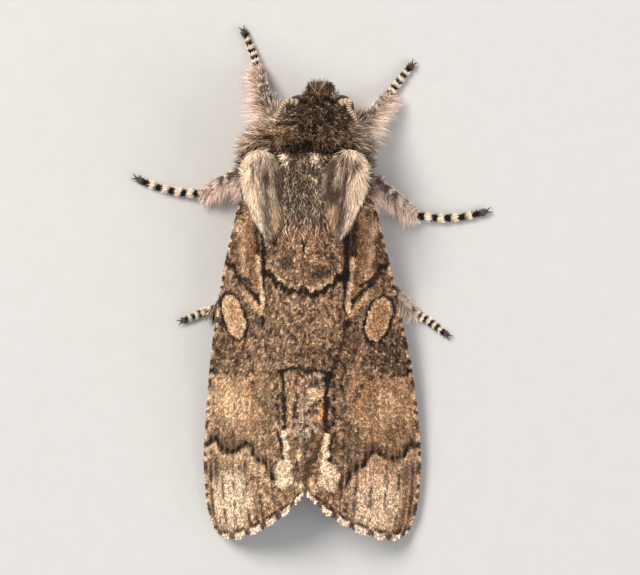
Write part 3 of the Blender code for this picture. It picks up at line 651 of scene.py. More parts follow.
def wing_marks(x, y, u, v, side):
    """The forewing's pattern, under a warm tint of painted light that is stronger on the right wing; x is the
    distance from the midline and y runs back, both in millimetres.
    """
    left = side == LEFT
    plain_y = y
    y = y - (0 if left else 0.12)
    speck, grain = mottle(x, y, 0.085, 21 + side), mottle(x, y, 0.19, 25 + side)
    streak = mottle(v, u * 0.45, 0.017, 27 + side) + 0.5 * mottle(v, u * 0.3, 0.035, 29 + side)
    patchy = mottle(x, y, 0.55, 31 + side)
    x = x + 0.05 * mottle(x, y, 0.16, 3 + side) + 0.04 * mottle(x, y, 0.4, 5)
    y = y + 0.05 * mottle(x, y, 0.16, 9 - side) + 0.04 * mottle(x, y, 0.4, 7)
    dotted = smooth(np.sin(10.5 * plain_y + 1.5 * patchy), -0.35, 0.1)
    paint = Paint(TAN, x, y)
    lay, dot, line = paint.lay, paint.dot, paint.line

    # Broad areas from root to margin
    pale_at = (3.85, 10.75) if left else (3.35, 10.75)
    lay(0.8 * fall(y, -0.7, 0.9) * smooth(x, 1.6, 2.1), DRAB)
    lay(0.2 * fall(y, 0.0, 0.4) * fall(x, 1.6, 2.0), DRAB)
    if not left:
        lay(0.85 * fall(y, -0.9, 0.3) * smooth(x, 1.8, 2.2), dyed(UMBER, 0.2, OCHRE))
    lay(0.5 * fall(y, -2.7, -2.1) * fall(x, 1.4, 1.8), ROSE)
    lay(0.85 * band(y, 0.9, 4.2, 0.4), DRAB)
    dot(0.45, TAN, (0.15, 1.75), (1.0, 0.9), 0.4)
    lay((0.75 if left else 0.9) * band(y, 2.6, 4.3, 0.3) * smooth(x, 2.5, 3.6), UMBER)
    lay(0.6 * band(y, 4.1, 8.3, 0.4) * band(x, 1.3, 2.45, 0.25), DRAB)
    if not left:
        lay(0.4 * band(y, 2.0, 9.0, 0.5) * band(x, 1.3, 2.3, 0.25), UMBER)
    lay(0.75 * band(y, 6.5, 8.6, 0.3) * smooth(x, 1.6, 2.4), DRAB)
    lay(0.9 * smooth(y, 8.7, 9.8) * smooth(x, 1.6, 2.6), dyed(TAN, 0.6, SAND))
    dot(0.9, dyed(CREAM, 0.3, IVORY), pale_at, (1.0, 1.55), 0.35, smooth(streak, -1.6, -0.6))
    lay(0.5 * smooth(y, 9.0, 10.2) * band(x, 1.5, 3.0, 0.3), DRAB)
    long_streak = mottle(v, u * 0.35, 0.055, 47 + side)

    # Streaks along the wing, then flecks all over
    lay((0.35 + 0.3 * smooth(y, 5.0, 8.0)) * smooth(streak, 0.2, 0.9) * smooth(patchy, -0.9, 0.4), UMBER)
    lay((0.3 + 0.3 * smooth(y, 5.0, 8.0)) * smooth(-streak, 0.2, 0.9), dyed(SAND, 0.5, CREAM))
    lay(0.4 * smooth(patchy, 0.0, 0.6), UMBER)
    lay(0.4 * smooth(mottle(x, y, 0.3, 35 + side), 0.1, 0.5), dye(124, 104, 98))
    lay(0.35 * smooth(mottle(x, y, 0.26, 37 + side), 0.2, 0.6), dye(150, 136, 100))
    lay(0.4 * smooth(-grain + 0.5 * patchy, 0.2, 0.7), UMBER)
    lay(0.4 * smooth(grain - 0.3 * patchy, 0.3, 0.8), SAND)
    lay(0.85 * smooth(-speck - 0.3 * grain, 0.3, 0.5), dyed(SOOT, 0.5, BLACK))
    lay(0.65 * smooth(speck + 0.3 * grain, 0.42, 0.62), dyed(ASH, 0.6, CREAM))
    lay(0.25 * smooth(grain, 0.55, 0.8) * smooth(patchy, -0.6, 0.2), OCHRE)

    # Root of the wing beside the flap, streaked pale and brown
    line(0.7, SAND, ((2.75, -3.6), (2.95, -2.6), (3.1, -1.6)), 0.35, 0.15)
    line(0.85, BLACK, ((2.35, -3.6), (2.4, -2.6), (2.3, -1.5)), 0.3, 0.12)
    line(0.6, UMBER, ((3.7, -3.0), (3.3, -1.0)), 0.3, 0.15)
    line(0.8, CREAM, ((2.35, -1.4), (2.25, 0.1)), 0.2, 0.08)
    dot(0.7, CREAM, (3.3, -2.9), (0.22, 0.4), 0.3)
    brown = dyed(UMBER, 0.45, OCHRE)
    line(0.7, brown, ((2.8, -2.9), (2.7, -1.3), (2.45, 0.1)), 0.36, 0.15, smooth(grain, -0.8, 0.1))
    line(0.6, dyed(SAND, 0.4, CREAM), ((3.2, -1.9), (2.95, -0.6)), 0.3, 0.12)
    dot(0.6, SAND, (3.15, -0.7), (0.2, 0.3))

    # Shield across the midline, with blotches in it and a black toothed rim
    dot(0.75, SOOT, (0.82, -1.1 if left else -0.85), (0.36, 0.3), 0.4)
    dot(0.45, UMBER, (0.25, -0.45), (0.3, 0.2), 0.4)
    lay(0.6 * stroke(x, y + 0.26, SHIELD_RIM, 0.22) * smooth(grain, -0.5, 0.1), CREAM)
    lay(0.97 * stroke(x, y + 0.06 * np.sin(17 * x), SHIELD_RIM, 0.33 + 0.08 * np.sin(14 * x)), BLACK)
    dot(0.85, BLACK, (1.86, -0.62), (0.24, 0.26), 0.3)
    line(0.97, BLACK, BASAL_LINE, 0.22 if left else 0.3)
    if not left:
        line(0.95, BLACK, ((1.95, -0.6), (2.02, 1.5)), 0.24, 0.06)
        line(0.85, SOOT, ((2.02, 1.45), (1.75, 2.95), (1.25, 4.3)), 0.24, 0.08)

    # First cross line and the arrow behind it
    line(0.92, BLACK, FIRST_LINE, 0.2, where=smooth(grain, -1.0, -0.4))
    dot(0.9, BLACK, (3.75, -1.02), (0.3, 0.16), 0.3)
    dot(0.9, BLACK, (4.4, -0.95), (0.16, 0.36), 0.3)
    line(0.85, dyed(CREAM, 0.4, OCHRE), ARROW_OUTER, 0.24, 0.07, fall(x, 2.9, 3.3))
    line(0.95, BLACK, ARROW_EDGE, 0.18)
    line(0.95, CREAM, ARROW_INNER, 0.18)
    dot(0.95, BLACK, (2.1, 1.72), (0.12, 0.26))

    # The long oval spot, which leans inwards to the rear
    leaning = x + 0.22 * (y - 1.57)
    ring = (3.63 if left else 3.53, 1.57)
    lay(0.97 * spot(leaning, y, ring, (0.73, 1.25), 0.05), BLACK)
    lay(0.95 * spot(leaning, y, ring, (0.57, 1.08), 0.05), CREAM)
    fill = dyed(SAND, 0.35, OCHRE) if left else dyed(TAN, 0.4, OCHRE)
    lay((0.6 if left else 0.85) * spot(leaning, y, ring, (0.42, 0.9), 0.3), fill)
    lay(0.5 * spot(leaning, y, ring, (0.5, 1.0), 0.2) * smooth(-speck, 0.1, 0.5), DRAB)

    # The pale patch near the costa
    patch = smooth(y, 4.3, 4.6) * fall(y + 0.9 * mottle(x, 0 * x, 0.5, 45), 6.2, 7.0)
    patch = patch * smooth(x + 0.35 * (y - 5) + 0.3 * mottle(0 * x, y, 0.5, 46), 2.45, 2.8)
    lay(0.85 * patch, dyed(SAND, 0.15, CREAM))
    lay(0.75 * patch * band(x, 2.3, 3.25, 0.12) * band(y, 4.5, 6.1, 0.15), dyed(TAN, 0.65, OCHRE))
    lay(0.35 * patch * smooth(-patchy, -0.1, 0.5), TAN)
    lay(0.55 * patch * smooth(mottle(x, y, 0.42, 48 + side), 0.1, 0.5), DRAB)
    lay(0.4 * patch * smooth(grain + 0.5 * speck, 0.0, 0.4), CREAM)
    dot(0.85, CREAM, (3.7, 6.0), (0.75, 0.85), 0.3, smooth(grain, -0.9, -0.3))
    line(0.6, dyed(ROSE, 0.5, SAND), ((2.8, 2.9), (2.35, 4.2), (2.1, 5.6)), 0.3, 0.1)
    lay(0.7 * patch * smooth(-speck, 0.3, 0.5), DRAB)
    lay(0.45 * band(y, 6.6, 7.7, 0.3) * band(x, 2.7, 3.6, 0.2), SAND)
    if not left:
        lay(0.3 * smooth(y, 4.2, 4.8) * smooth(x, 2.4, 3.0), dyed(DRAB, 0.5, OCHRE))
    dashes = smooth(np.sin(12 * x + 2), -0.3, 0.1)
    line(0.9, BLACK, PATCH_TOP, 0.15, where=dashes)
    line(0.9, BLACK, PATCH_INNER, 0.15, where=dotted)
    dot(0.95, BLACK, (5.02, 4.2), (0.28, 0.28), 0.15)

    # The box on the midline, different on each side
    inside = band(y, 4.25, 7.3, 0.1) * fall(x, 0.95, 1.05)
    lay(0.5 * inside * fall(streak, 0, 0.5), ROSE if left else ASH)
    lay(0.7 * inside * smooth(speck + grain, 0.3, 0.6), CREAM)
    lay(0.8 * inside * smooth(-speck - grain, 0.4, 0.7), BLACK)
    dot(0.85, SOOT, (0.5, 4.7), (0.35, 0.25), 0.3, smooth(grain, -0.4, 0.2))
    if left:
        line(0.85, CREAM, ((0.95, 5.0), (0.98, 6.0), (0.95, 6.9)), 0.13)
        line(0.7, OCHRE, ((0.9, 5.9), (0.9, 6.6)), 0.15)
        line(0.7, SAND, ((0.5, 4.4), (0.75, 5.4), (0.7, 6.8)), 0.16)
        line(0.8, SOOT, ((0.3, 5.4), (0.45, 6.2), (0.25, 7.6)), 0.16)
    else:
        dot(0.8, CREAM, (0.55, 5.25), (0.45, 0.3), 0.3)
        line(0.9, BLACK, ((0.15, 5.75), (0.55, 5.8), (0.75, 5.65)), 0.14)
        dot(0.95, OCHRE, (0.9, 6.15), (0.18, 0.5), 0.3)
        dot(0.9, dyed(CREAM, 0.5, OCHRE), (0.55, 6.45), (0.22, 0.22), 0.3)
        line(0.7, dyed(UMBER, 0.5, OCHRE), ((0.85, 6.8), (0.5, 8.1)), 0.22, 0.08)
        line(0.85, SOOT, ((0.98, 7.2), (0.5, 8.2), (0.04, 9.2)), 0.26, 0.08)
    dot(0.8, ASH, (0.1, 7.0), (0.4, 1.3), 0.3, smooth(grain, -0.5, 0.1))
    dot(0.6, SOOT, (0.1, 6.7), (0.4, 1.4), 0.3, smooth(-grain, 0.2, 0.5))
    line(0.95, BLACK, BOX_TOP, 0.24, where=smooth(grain, -1.1, -0.6))
    torn = smooth(mottle(x, y, 0.16, 39), -0.75, -0.35)
    line(0.97, BLACK, BOX_SIDE, 0.2 if left else 0.28, where=torn)
    line(0.9, BLACK, BOX_DOTS, 0.16, where=dotted)

    # Behind the box: dark ground with a cream streak and a round cream spot on each side
    lay(0.4 * band(y, 7.4, 10.2, 0.3) * fall(x, 0.6, 1.0), UMBER)
    dot(0.85, CREAM, (0.32, 8.4 if left else 9.7), (0.14, 0.35), 0.3)
    dot(0.8, CREAM, (0.3, 9.9), (0.22, 0.4), 0.3, smooth(grain, -0.4, 0.1))
    line(0.95, BLACK, STREAK_EDGE, 0.26)
    lay(0.97 * stroke(x + 0.05 * np.sin(9 * y), y, CREAM_STREAK, 0.28), dyed(CREAM, 0.5, IVORY))
    dot(0.9, SOOT, (1.24, 9.42), (0.52, 0.78), 0.1)
    dot(0.9, BLACK, (1.6, 9.6), (0.14, 0.3), 0.3)
    lay(0.97 * spot(x + 0.06 * np.sin(8 * y), y, (1.14, 9.38), (0.48, 0.72), 0.15), dyed(CREAM, 0.5, IVORY))
    dot(0.35, TAN, (1.2, 9.1), (0.6, 1.3), 0.3, smooth(-speck, 0.15, 0.45))

    # Long streaks over the rear half
    rear_half = smooth(y, 4.4, 5.4) * smooth(x, 1.4, 1.9)
    lay(0.5 * rear_half * smooth(long_streak + 0.35 * streak, 0.15, 0.6), dyed(UMBER, 0.4, DRAB))
    lay(0.35 * rear_half * smooth(-long_streak + 0.35 * streak, 0.3, 0.8), CREAM)

    # Second cross line, scalloped, with pale lobes behind it
    px, py = (x, y) if left else (x - 0.2, y - 0.22)
    behind = smooth(x, 1.7, 2.2) * smooth(patchy, -0.8, 0.0)
    lay(0.7 * stroke(px, py - 0.5, SECOND_LINE, 0.62, 0.15) * behind, dyed(CREAM, 0.4, ROSE))
    lay(0.5 * stroke(px, py - 0.45, SECOND_LINE, 0.4, 0.15) * smooth(grain, -0.2, 0.3), CREAM)
    lay(0.65 * stroke(px, py + 0.2, SECOND_LINE, 0.38, 0.15), UMBER)
    lay(0.97 * stroke(px, py, SECOND_LINE, 0.25) * smooth(grain + 0.5 * patchy, -1.0, -0.35), BLACK)
    dot(0.85, dyed(CREAM, 0.6, IVORY), pale_at, (1.05, 1.45), 0.35, smooth(streak + grain, -1.4, -0.4))
    dot(0.7, dyed(UMBER, 0.3, SLATE), (4.85, 9.35), (0.4, 0.55), 0.35)
    dot(0.5, UMBER, (4.1, 9.0), (0.3, 0.3), 0.35)

    # Veins, dark and broken, more so towards the margin
    for place, start in VEINS:
        thin = fall(np.abs(v - place + 0.004 * speck), 0.004, 0.017)
        broken = smooth(mottle(plain_y, 0 * x + 40 * place, 0.42, 93 + side) + 0.3 * patchy, -0.5, 0.1)
        strength = 0.16 * smooth(u, start, start + 0.1) + 0.1 * smooth(y, 4.0, 6.0)
        strength = strength + 0.5 * smooth(y, 8.6, 10.0)
        lay(thin * broken * strength * smooth(x, 1.4, 1.8), SOOT)
        beside = band(np.abs(v - place), 0.018, 0.036, 0.006) * smooth(y, 4.0, 5.0)
        lay((0.1 + 0.3 * smooth(y, 8.0, 9.5)) * beside * smooth(x, 1.4, 1.8), CREAM)

    # Margin: dark crescents, then a fringe of cream lobes and dark gaps; costa finely chequered
    scallop = np.abs(np.sin(np.pi * SCALLOPS * v))
    lay(0.85 * band(u, 0.96, 0.972, 0.004) * smooth(scallop, 0.3, 0.6), SOOT)
    fringe = smooth(u, 0.972, 0.978)
    lay(0.95 * fringe * smooth(scallop, 0.45, 0.65), IVORY)
    lay(0.9 * fringe * fall(scallop, 0.4, 0.55), dyed(SOOT, 0.35, SLATE))
    chequer = np.sin(9 * plain_y + 2 * np.sin(3 * plain_y))
    costal = smooth(v, 0.955, 0.972)
    lay(0.8 * costal * smooth(chequer, 0.1, 0.5), SOOT)
    lay(0.8 * costal * smooth(-chequer, 0.1, 0.5), CREAM)
    lay(0.5 * fall(x, 0.03, 0.07), UMBER)

    # Painted light: a warm tint over each wing, stronger on the right one, standing in for the warm light
    # that falls on them.
    painted_light_tint = (1.03, 0.975, 0.935) if left else (1.02, 0.925, 0.86)
    return np.clip(paint.colour * painted_light_tint, 0.0, 1.0)


def wing_skin(side, name):
    """A thin closed wing with its marks."""
    u, v = grid(*WING_GRID)
    here, ahead, out = wing_frame(u, v, side)
    rim = np.minimum(1, 12 * np.minimum.reduce([v, 1 - v, 1 - u + 0.004]))[..., None]
    top = here + out * (VEIN_HEIGHT * vein_lift(u, v))[..., None]
    bottom = here - out * (RIM_THICKNESS + (WING_THICKNESS - RIM_THICKNESS) * rim)
    mesh = joined(name, sheet_shape(top, bottom, side == LEFT))
    y = here[..., 1]
    marks = wing_marks(side * here[..., 0] / wing_spread(y, side), y, u, v, side).reshape(-1, 3)
    under = dyed(np.broadcast_to(DRAB, marks.shape), 0.5 * smooth(v.ravel(), 0.4, 1), TAN)
    note(mesh, "marks", np.concatenate([marks, under]))
    note(mesh, "room", np.repeat((1.0, 0.0), u.size))
    note(mesh, "reach", np.full(2 * u.size, SCALE_LENGTH))
    for label, values in (("lie", ahead), ("unwrap", triple(0.03 + 0.93 * u, 0.03 + 0.93 * v, 0))):
        note(mesh, label, np.tile(values.reshape(-1, 3), (2, 1)))
    return mesh


# The body's skin

def tegula_turn(side):
    turn = Matrix.Rotation(side * TEGULA_TURN, 3, "Z") @ Matrix.Rotation(side * TEGULA_LEAN, 3, "Y")
    return np.array(turn)


def tegula_breadth(ball):
    return 0.4 + 0.6 * smooth(0.75 - 0.6 * ball[:, 1])


def tegula_bend(ball):
    return TEGULA_BEND * (ball[:, 0] ** 2 + 0.6 * ball[:, 1] ** 2)


def tegula_place(side):
    def place(ball):
        x, y, z = (ball * TEGULA_SIZE).T
        local = triple(x * tegula_breadth(ball), y, z - tegula_bend(ball))
        return local @ tegula_turn(side).T + np.array(TEGULA_AT) * (side, 1, 1)
    return place


def ball_place(at, size):
    return lambda ball: ball * size + at


def neck_bend(y):
    """How far that part of the neck leans aside, towards the head."""
    return HEAD_AT[0] * smooth((NECK_BEND_FROM - y) / NECK_BEND_LENGTH)


def hood_taper(y):
    return 1 - HOOD_TAPER * smooth((HOOD_TAPER_FROM - y) / HOOD_TAPER_LENGTH)


def collar_place(ball):
    rear = np.where(ball[:, 1] > 0, COLLAR_REAR, 1.0)
    points = ball * COLLAR_SIZE * triple(1.0, rear, 1.0) + COLLAR_AT
    points[:, 0] = points[:, 0] * hood_taper(points[:, 1]) + neck_bend(points[:, 1])
    points[:, 2] = np.maximum(points[:, 2], COLLAR_BOTTOM)
    return points


def abdomen_size(y):
    """Height of the middle, half width and half depth of the abdomen there."""
    return [np.interp(y, ABDOMEN[:, 0], ABDOMEN[:, column]) for column in (1, 2, 3)]


def abdomen_place(ball):
    y = ABDOMEN[0, 0] + (ABDOMEN[-1, 0] - ABDOMEN[0, 0]) * ((ball[:, 2] + 1) / 2)
    height, width, depth = abdomen_size(y)
    ring = np.maximum(np.hypot(ball[:, 0], ball[:, 1]), 1e-6)
    reach = np.minimum(1, 1.6 * ring) / ring
    return triple(-ball[:, 0] * reach * width, y, height + ball[:, 1] * reach * depth)


def foot_joint(share):
    """The share of the way along one of the foot's joints."""
    return share * FOOT_JOINTS - np.floor(share * FOOT_JOINTS - 1e-6)


def leg_line(name):
    """Points down the leg with their radius, their part (0 thigh, 1 shin, 2 foot) and share of it."""
    hip, knee, ankle, middle, claws = np.array(LEGS[name])
    part = np.repeat([0, 1, 2], LEG_STEPS)
    share = np.tile(np.linspace(0, 1, LEG_STEPS), 3)
    s = share[:, None]
    thigh, shin = hip + (knee - hip) * s, knee + (ankle - knee) * s
    start = ankle + (middle - ankle) * s
    foot = start + (middle + (claws - middle) * s - start) * s
    points = np.where(part[:, None] == 0, thigh, np.where(part[:, None] == 1, shin, foot))
    size = HIND_LEG_SIZE if name.startswith("hind") else 1.0
    radius = np.select(
        [part == 0, part == 1],
        [size * (0.42 - 0.14 * share), size * (0.25 + 0.06 * np.sin(np.pi * share) ** 0.7 - 0.06 * share)],
        0.15 + 0.055 * foot_joint(share) ** 1.5 - 0.03 * share,
    )
    radius = np.where((part == 2) & (share > 0.97), 0.08, radius)
    keep = np.ones(len(part), bool)
    keep[[LEG_STEPS, 2 * LEG_STEPS]] = False
    points[part == 2, 2] = np.maximum(points[part == 2, 2], FOOT_LEVEL)
    return points[keep], radius[keep], part[keep], share[keep]


def body_skin():
    shapes = [
        ball_shape(ball_place(HEAD_AT, HEAD_SIZE)), ball_shape(collar_place),
        ball_shape(ball_place(THORAX_AT, THORAX_SIZE)), ball_shape(abdomen_place),
    ]
    share = np.linspace(0, 1, PALP_STEPS)
    for side in (LEFT, RIGHT):
        path = along(PALP, share) * (side, 1, 1) + (HEAD_AT[0], 0, 0)
        shapes += [ball_shape(tegula_place(side)), tube_shape(path, 0.2 - 0.1 * share ** 2)]
    shapes += [tube_shape(*leg_line(name)[:2]) for name in LEGS]
    holder = held("skin", joined("skin", *shapes))
    remesh = holder.modifiers.new("one_skin", "REMESH")
    remesh.mode, remesh.voxel_size, remesh.use_smooth_shade = "VOXEL", SKIN_VOXEL, True
    holder.modifiers.new("ease", "SMOOTH").iterations = 2
    return baked(holder)


def body_regions(points):
    """For each point of the skin the part it belongs to, with its place on the flaps and on the legs."""
    x, y, z = points.T
    near, flaps, legs, far = {}, {}, {}, 9.0
    for name, at, size in (
        ("head", HEAD_AT, HEAD_SIZE), ("collar", COLLAR_AT, COLLAR_SIZE), ("thorax", THORAX_AT, THORAX_SIZE),
    ):
        place = points - at
        if name == "collar":
            place[:, 0] = (x - neck_bend(y)) / hood_taper(y)
        near[name] = (np.linalg.norm(place / size, axis=1) - 1) * min(size)
    near["collar"] = np.where(y > HOOD_END, far, near["collar"])
    height, width, depth = abdomen_size(y)
    above = (np.hypot(x / width, (z - height) / depth) - 1) * depth
    near["abdomen"] = np.where(y < ABDOMEN_START, far, above)
    for side, name in SIDES:
        ball = (points - np.array(TEGULA_AT) * (side, 1, 1)) @ tegula_turn(side) / TEGULA_SIZE
        ball[:, 0] /= tegula_breadth(ball)
        ball[:, 2] += tegula_bend(ball) / TEGULA_SIZE[2]
        near["flap_" + name] = (np.linalg.norm(ball, axis=1) - 1) * TEGULA_SIZE[2]
        flaps[side] = ball * (side, 1, 1)
    for name in LEGS:
        line, radius, part, share = leg_line(name)
        gaps = points[:, None].astype(np.float32) - line[None].astype(np.float32)
        gaps = np.linalg.norm(gaps, axis=2)
        nearest = gaps.argmin(axis=1)
        near[name] = gaps.min(axis=1) - radius[nearest]
        ahead = unit(np.gradient(line, axis=0))
        legs[name] = (ahead[nearest], part[nearest], share[nearest], nearest / len(line))
    palps = [points - PALP[2] * (side, 1, 1) - (HEAD_AT[0], 0, 0) for side in (LEFT, RIGHT)]
    near["palp"] = np.minimum(*(np.linalg.norm(gap, axis=1) for gap in palps)) - PALP_REACH
    nearest = np.argmin(np.stack(list(near.values())), axis=0)
    return np.array(list(near))[nearest], flaps, legs


def body_notes(points, normals):
    """For each point of the skin: its part, and its marks, lie, reach and place on the unwrap."""
    region, flaps, legs = body_regions(points)
    x, y, z = points.T
    fine, coarse = mottle(x * 1.3 + z, y, 0.12, 51), mottle(x + 0.7 * z, y, 0.5, 52)
    turn = np.arctan2(x, z - 3) / (2 * np.pi) + 0.5

    def laid(way, share=1.0):
        """The direction pressed down on the skin."""
        return unit(way - share * normals * (way * normals).sum(axis=1, keepdims=True))

    def unwrapped(across, down):
        return triple(UNWRAP_FROM + UNWRAP_SIZE * across, UNWRAP_FROM + UNWRAP_SIZE * down, 0)

    kept = {
        "marks": np.tile(UMBER, (len(x), 1)), "lie": laid(triple(0 * x, 1.0, 0)),
        "reach": np.full(len(x), 0.6), "unwrap": unwrapped(turn, np.clip((y + 11) / 21, 0, 1)),
    }
    paint = Paint(UMBER, x, y)
    lay = paint.lay

    def keep(where, **values):
        for name, value in values.items():
            kept[name][where] = np.broadcast_to(value, kept[name].shape)[where]

    # Hood of hair on head, palps and collar: dark with tan flecks, pale and longer low on the sides
    head, collar, palp, thorax = (region == name for name in ("head", "collar", "palp", "thorax"))
    lay(0.75 * smooth(coarse, -0.6, 0.3), SOOT)
    lay(0.9 * smooth(-fine, -0.08, 0.28), dyed(SOOT, 0.5, BLACK))
    lay(0.55 * smooth(fine, 0.3, 0.55), dyed(ASH, 0.4, TAN))
    broad = np.abs(x - neck_bend(y)) / hood_taper(y)
    low = smooth(broad - 0.6 * (z - 3.4), 1.9, 2.5) * smooth(y, -8.5, -7.8)
    pale = np.where(x > 0, 0.85, 0.45)
    lay(pale * low, dyed(ASH, 0.4, TAN))
    lay(pale * low * smooth(fine, -0.3, 0.3), IVORY)
    lay(0.7 * band(y, -7.8, -6.85, 0.25) * smooth(fine, -0.5, 0.1), dyed(DRAB, 0.5, TAN))
    # A black band along the collar's rear edge and over its top at the rear: partly the collar's own dark
    # edge, partly painted shade on its steep rear face where the hood overhangs the thorax.
    sides = 1 - 0.6 * smooth(np.abs(x - 0.15), 0.7, 1.1)
    rear_top = spot(x, y, (0.15, -6.75), (0.75, 0.3), 0.4) * (z > 4)
    edge = np.maximum(smooth(y, -6.8, -6.7) * sides, rear_top)
    lay(0.85 * edge * (1 - 0.7 * low), BLACK)
    brow = head * fall(y, -9.2, -8.7)
    lay(0.35 * brow * smooth(fine, -0.3, 0.3), TAN)
    keep(head | collar | palp, marks=paint.colour)
    forward = laid(unit(triple(-0.35 * (x - HEAD_AT[0]), -0.9, np.where(z > 3.2, 0.3, -0.4))))
    front = smooth(-normals[:, 1], 0.1, 0.7)[:, None]
    tuft = np.exp(-((x - HEAD_AT[0]) / 0.45) ** 2)
    keep(head, lie=unit(kept["lie"] * (1 - front) + forward * front),
         reach=0.3 + (0.12 + 0.45 * tuft) * fall(y, -9.3, -8.8) * (z > 2.4))
    outward = 0.3 * smooth(broad, 0.5, 2.5) + 1.3 * low
    crest = smooth(z, 5.1, 5.5)
    splay = laid(triple(outward * np.sign(x), 0.9, -0.1 * low), 0.75)
    keep(collar, lie=splay * (1 - 0.6 * crest[:, None]),
         reach=0.22 + 0.13 * smooth(y, -7.1, -6.8) + 0.75 * low + 0.2 * crest)
    keep(palp, reach=0.32)

    # Thorax: grey-brown with a dark middle, blue-grey and olive flecks, two white spots and a rosy rear tuft
    paint.start(dye(166, 142, 122))
    lay(0.5 * smooth(coarse, -0.2, 0.5), UMBER)
    # Darker at the front, just behind the collar: painted shade under the collar's overhanging rear edge.
    lay(0.6 * fall(y, -6.5, -6.0), SOOT)
    lay(0.6 * smooth(np.abs(x - 0.15), 0.9, 1.3), TAN)
    paint.dot(0.5, dyed(SOOT, 0.3, UMBER), (0.1, -5.0), (0.8, 1.0), 0.4)
    lay(0.75 * smooth(-fine, 0.15, 0.5), SOOT)
    lay(0.8 * smooth(fine, 0.15, 0.5), dyed(ASH, 0.5, CREAM))
    lay(0.45 * smooth(mottle(x, y, 0.16, 61), 0.35, 0.6), dye(138, 128, 92))
    blue = band(y, -4.4, -3.4, 0.25) * smooth(mottle(x, y, 0.16, 62), 0.0, 0.4)
    lay(0.5 * blue, dyed(SLATE, 0.4, ASH))
    lay(0.85 * smooth(y, -3.4, -3.0) * smooth(fine, -0.8, -0.2), dye(184, 150, 126))
    for at in ((0.88, -6.25), (-0.5, -6.25)):
        paint.dot(0.97, IVORY, at, (0.2, 0.36), 0.15, z > 4)
    flank = smooth(np.abs(x) - 0.35 * (z - 3), 1.5, 2.0)
    lay(np.where(x > 0, 0.8, 0.6) * flank, SAND)
    lay(0.6 * flank * smooth(fine, -0.1, 0.5), IVORY)
    keep(thorax, marks=paint.colour,
         reach=0.34 + 0.45 * smooth(y, -4.2, -2.6) + 0.75 * flank * (z > 1.5))
    keep(thorax & (flank > 0.05), lie=laid(triple(np.sign(x) * 1.1 * flank, 0.9, -0.1 * flank), 0.6))

    # Pale flaps: a white stripe widens along the outer edge to the tip, grey-brown and streaked inside
    for side, name in SIDES:
        across, down, _ = flaps[side].T
        streak = mottle(across * 1.4 + 0.3 * down, down * 0.25, 0.1, 71 + side)
        paint.start(dye(150, 128, 110))
        lay(0.7 * smooth(streak, -0.2, 0.5), dyed(ASH, 0.5, IVORY))
        lay(0.8 * smooth(-streak, 0.1, 0.4), UMBER)
        start = np.interp(down, (-0.95, -0.8, -0.3, 0.3, 0.8), (-0.7, 0.0, -0.35, -0.3, -0.15))
        white = smooth(across + 0.12 * streak - start, 0.0, 0.22)
        inner = band(across + 0.06 * streak, -0.95, -0.55, 0.12) * smooth(down, 0.05, 0.4)
        lay(0.6 * smooth(down, 0.0, 0.3), UMBER)
        lay(0.9 * inner, dyed(SAND, 0.7, CREAM))
        lay(0.95 * white, dyed(IVORY, 0.25, CREAM))
        lay(0.3 * white * smooth(-streak, 0.2, 0.6), TAN)
        lay(0.6 * smooth(down, 0.6, 0.85) * smooth(fine, -0.3, 0.3), CREAM)
        # Black at the flap's outer edge, its own dark rim, and black wherever its side turns steeply down,
        # which is painted shade.
        rim = np.maximum(smooth(across, 0.93, 0.98), smooth(0.36 - normals[:, 2], 0.0, 0.12))
        lay(0.92 * rim, BLACK)
        corner = smooth(across, 0.0, 0.5) * smooth(-down, 0.2, 0.6)
        inward = triple(side * (1.3 * corner - 0.3), 1 - 1.5 * corner, -0.12 - 0.2 * corner)
        keep(region == "flap_" + name, marks=paint.colour, reach=0.55 + 0.25 * corner, lie=laid(inward))

    # Abdomen: banded grey-brown with a paler belly
    paint.start(DRAB)
    lay(0.5 * smooth(fine, -0.2, 0.5), TAN)
    lay(0.35 * smooth(np.sin(4.6 * y), 0.2, 0.9), UMBER)
    lay(0.4 * fall(z, 0.9, 1.8), SAND)
    keep(region == "abdomen", marks=paint.colour, reach=0.5 + 0.5 * smooth(y, 6.0, 8.5))

    # Legs: pale and rosy, dark above, with banded feet and a long fringe behind the shin
    for order, name in enumerate(LEGS):
        ahead, part, share, way = legs[name]
        rear = triple(0, 1.0, 0) - ahead * ahead[:, 1:2]
        if name.startswith("fore"):
            rear = triple(np.sign(LEGS[name][0][0]), 0.35, 0) - ahead * 0.4
        rear = unit(rear * (1, 1, 0))
        behind = smooth((normals * rear).sum(axis=1), 0.1, 0.8)
        fringe = [smooth(share, 0.3, 0.8), 1 - 0.6 * smooth(share, 0.85, 1.0)]
        long = behind * np.select([part == 0, part == 1], fringe, 0)
        if name == "hind_leg_left":
            ankle = (part == 1) * smooth(share, 0.5, 0.8) + (part == 2) * fall(share, 0.05, 0.3)
            long = np.maximum(long, ankle)
        paint.start(dye(230, 204, 190))
        lay(0.85 * smooth(fine, -0.3, 0.3), IVORY)
        lay(0.5 * smooth(-fine, 0.3, 0.6) * (part < 2) * (1 - behind), UMBER)
        above = smooth(normals[:, 2], -0.1, 0.4) * (1 - 0.8 * behind)
        lay(0.85 * above * smooth(mottle(way * 40, z * 3, 0.6, 81), -0.35, 0.1), SOOT)
        bands = dyed(np.broadcast_to(BLACK, points.shape), smooth(foot_joint(share), 0.5, 0.62), IVORY)
        bands = dyed(bands, 0.9 * smooth(share, 0.9, 0.93), SOOT)
        paint.colour = np.where((part == 2)[:, None], bands, paint.colour)
        lay(0.8 * (part == 1) * smooth(share, 0.9, 0.95), IVORY)
        loose = np.where(part == 0, 0.8, 0.15)[:, None]
        sweep = ahead * (0.9 - 0.25 * long[:, None]) + rear * long[:, None] * 0.8 + normals * loose
        length = np.select([part == 0, part == 1], [0.75 - 0.4 * smooth(share, 0.7, 1.0), 0.2], 0.13)
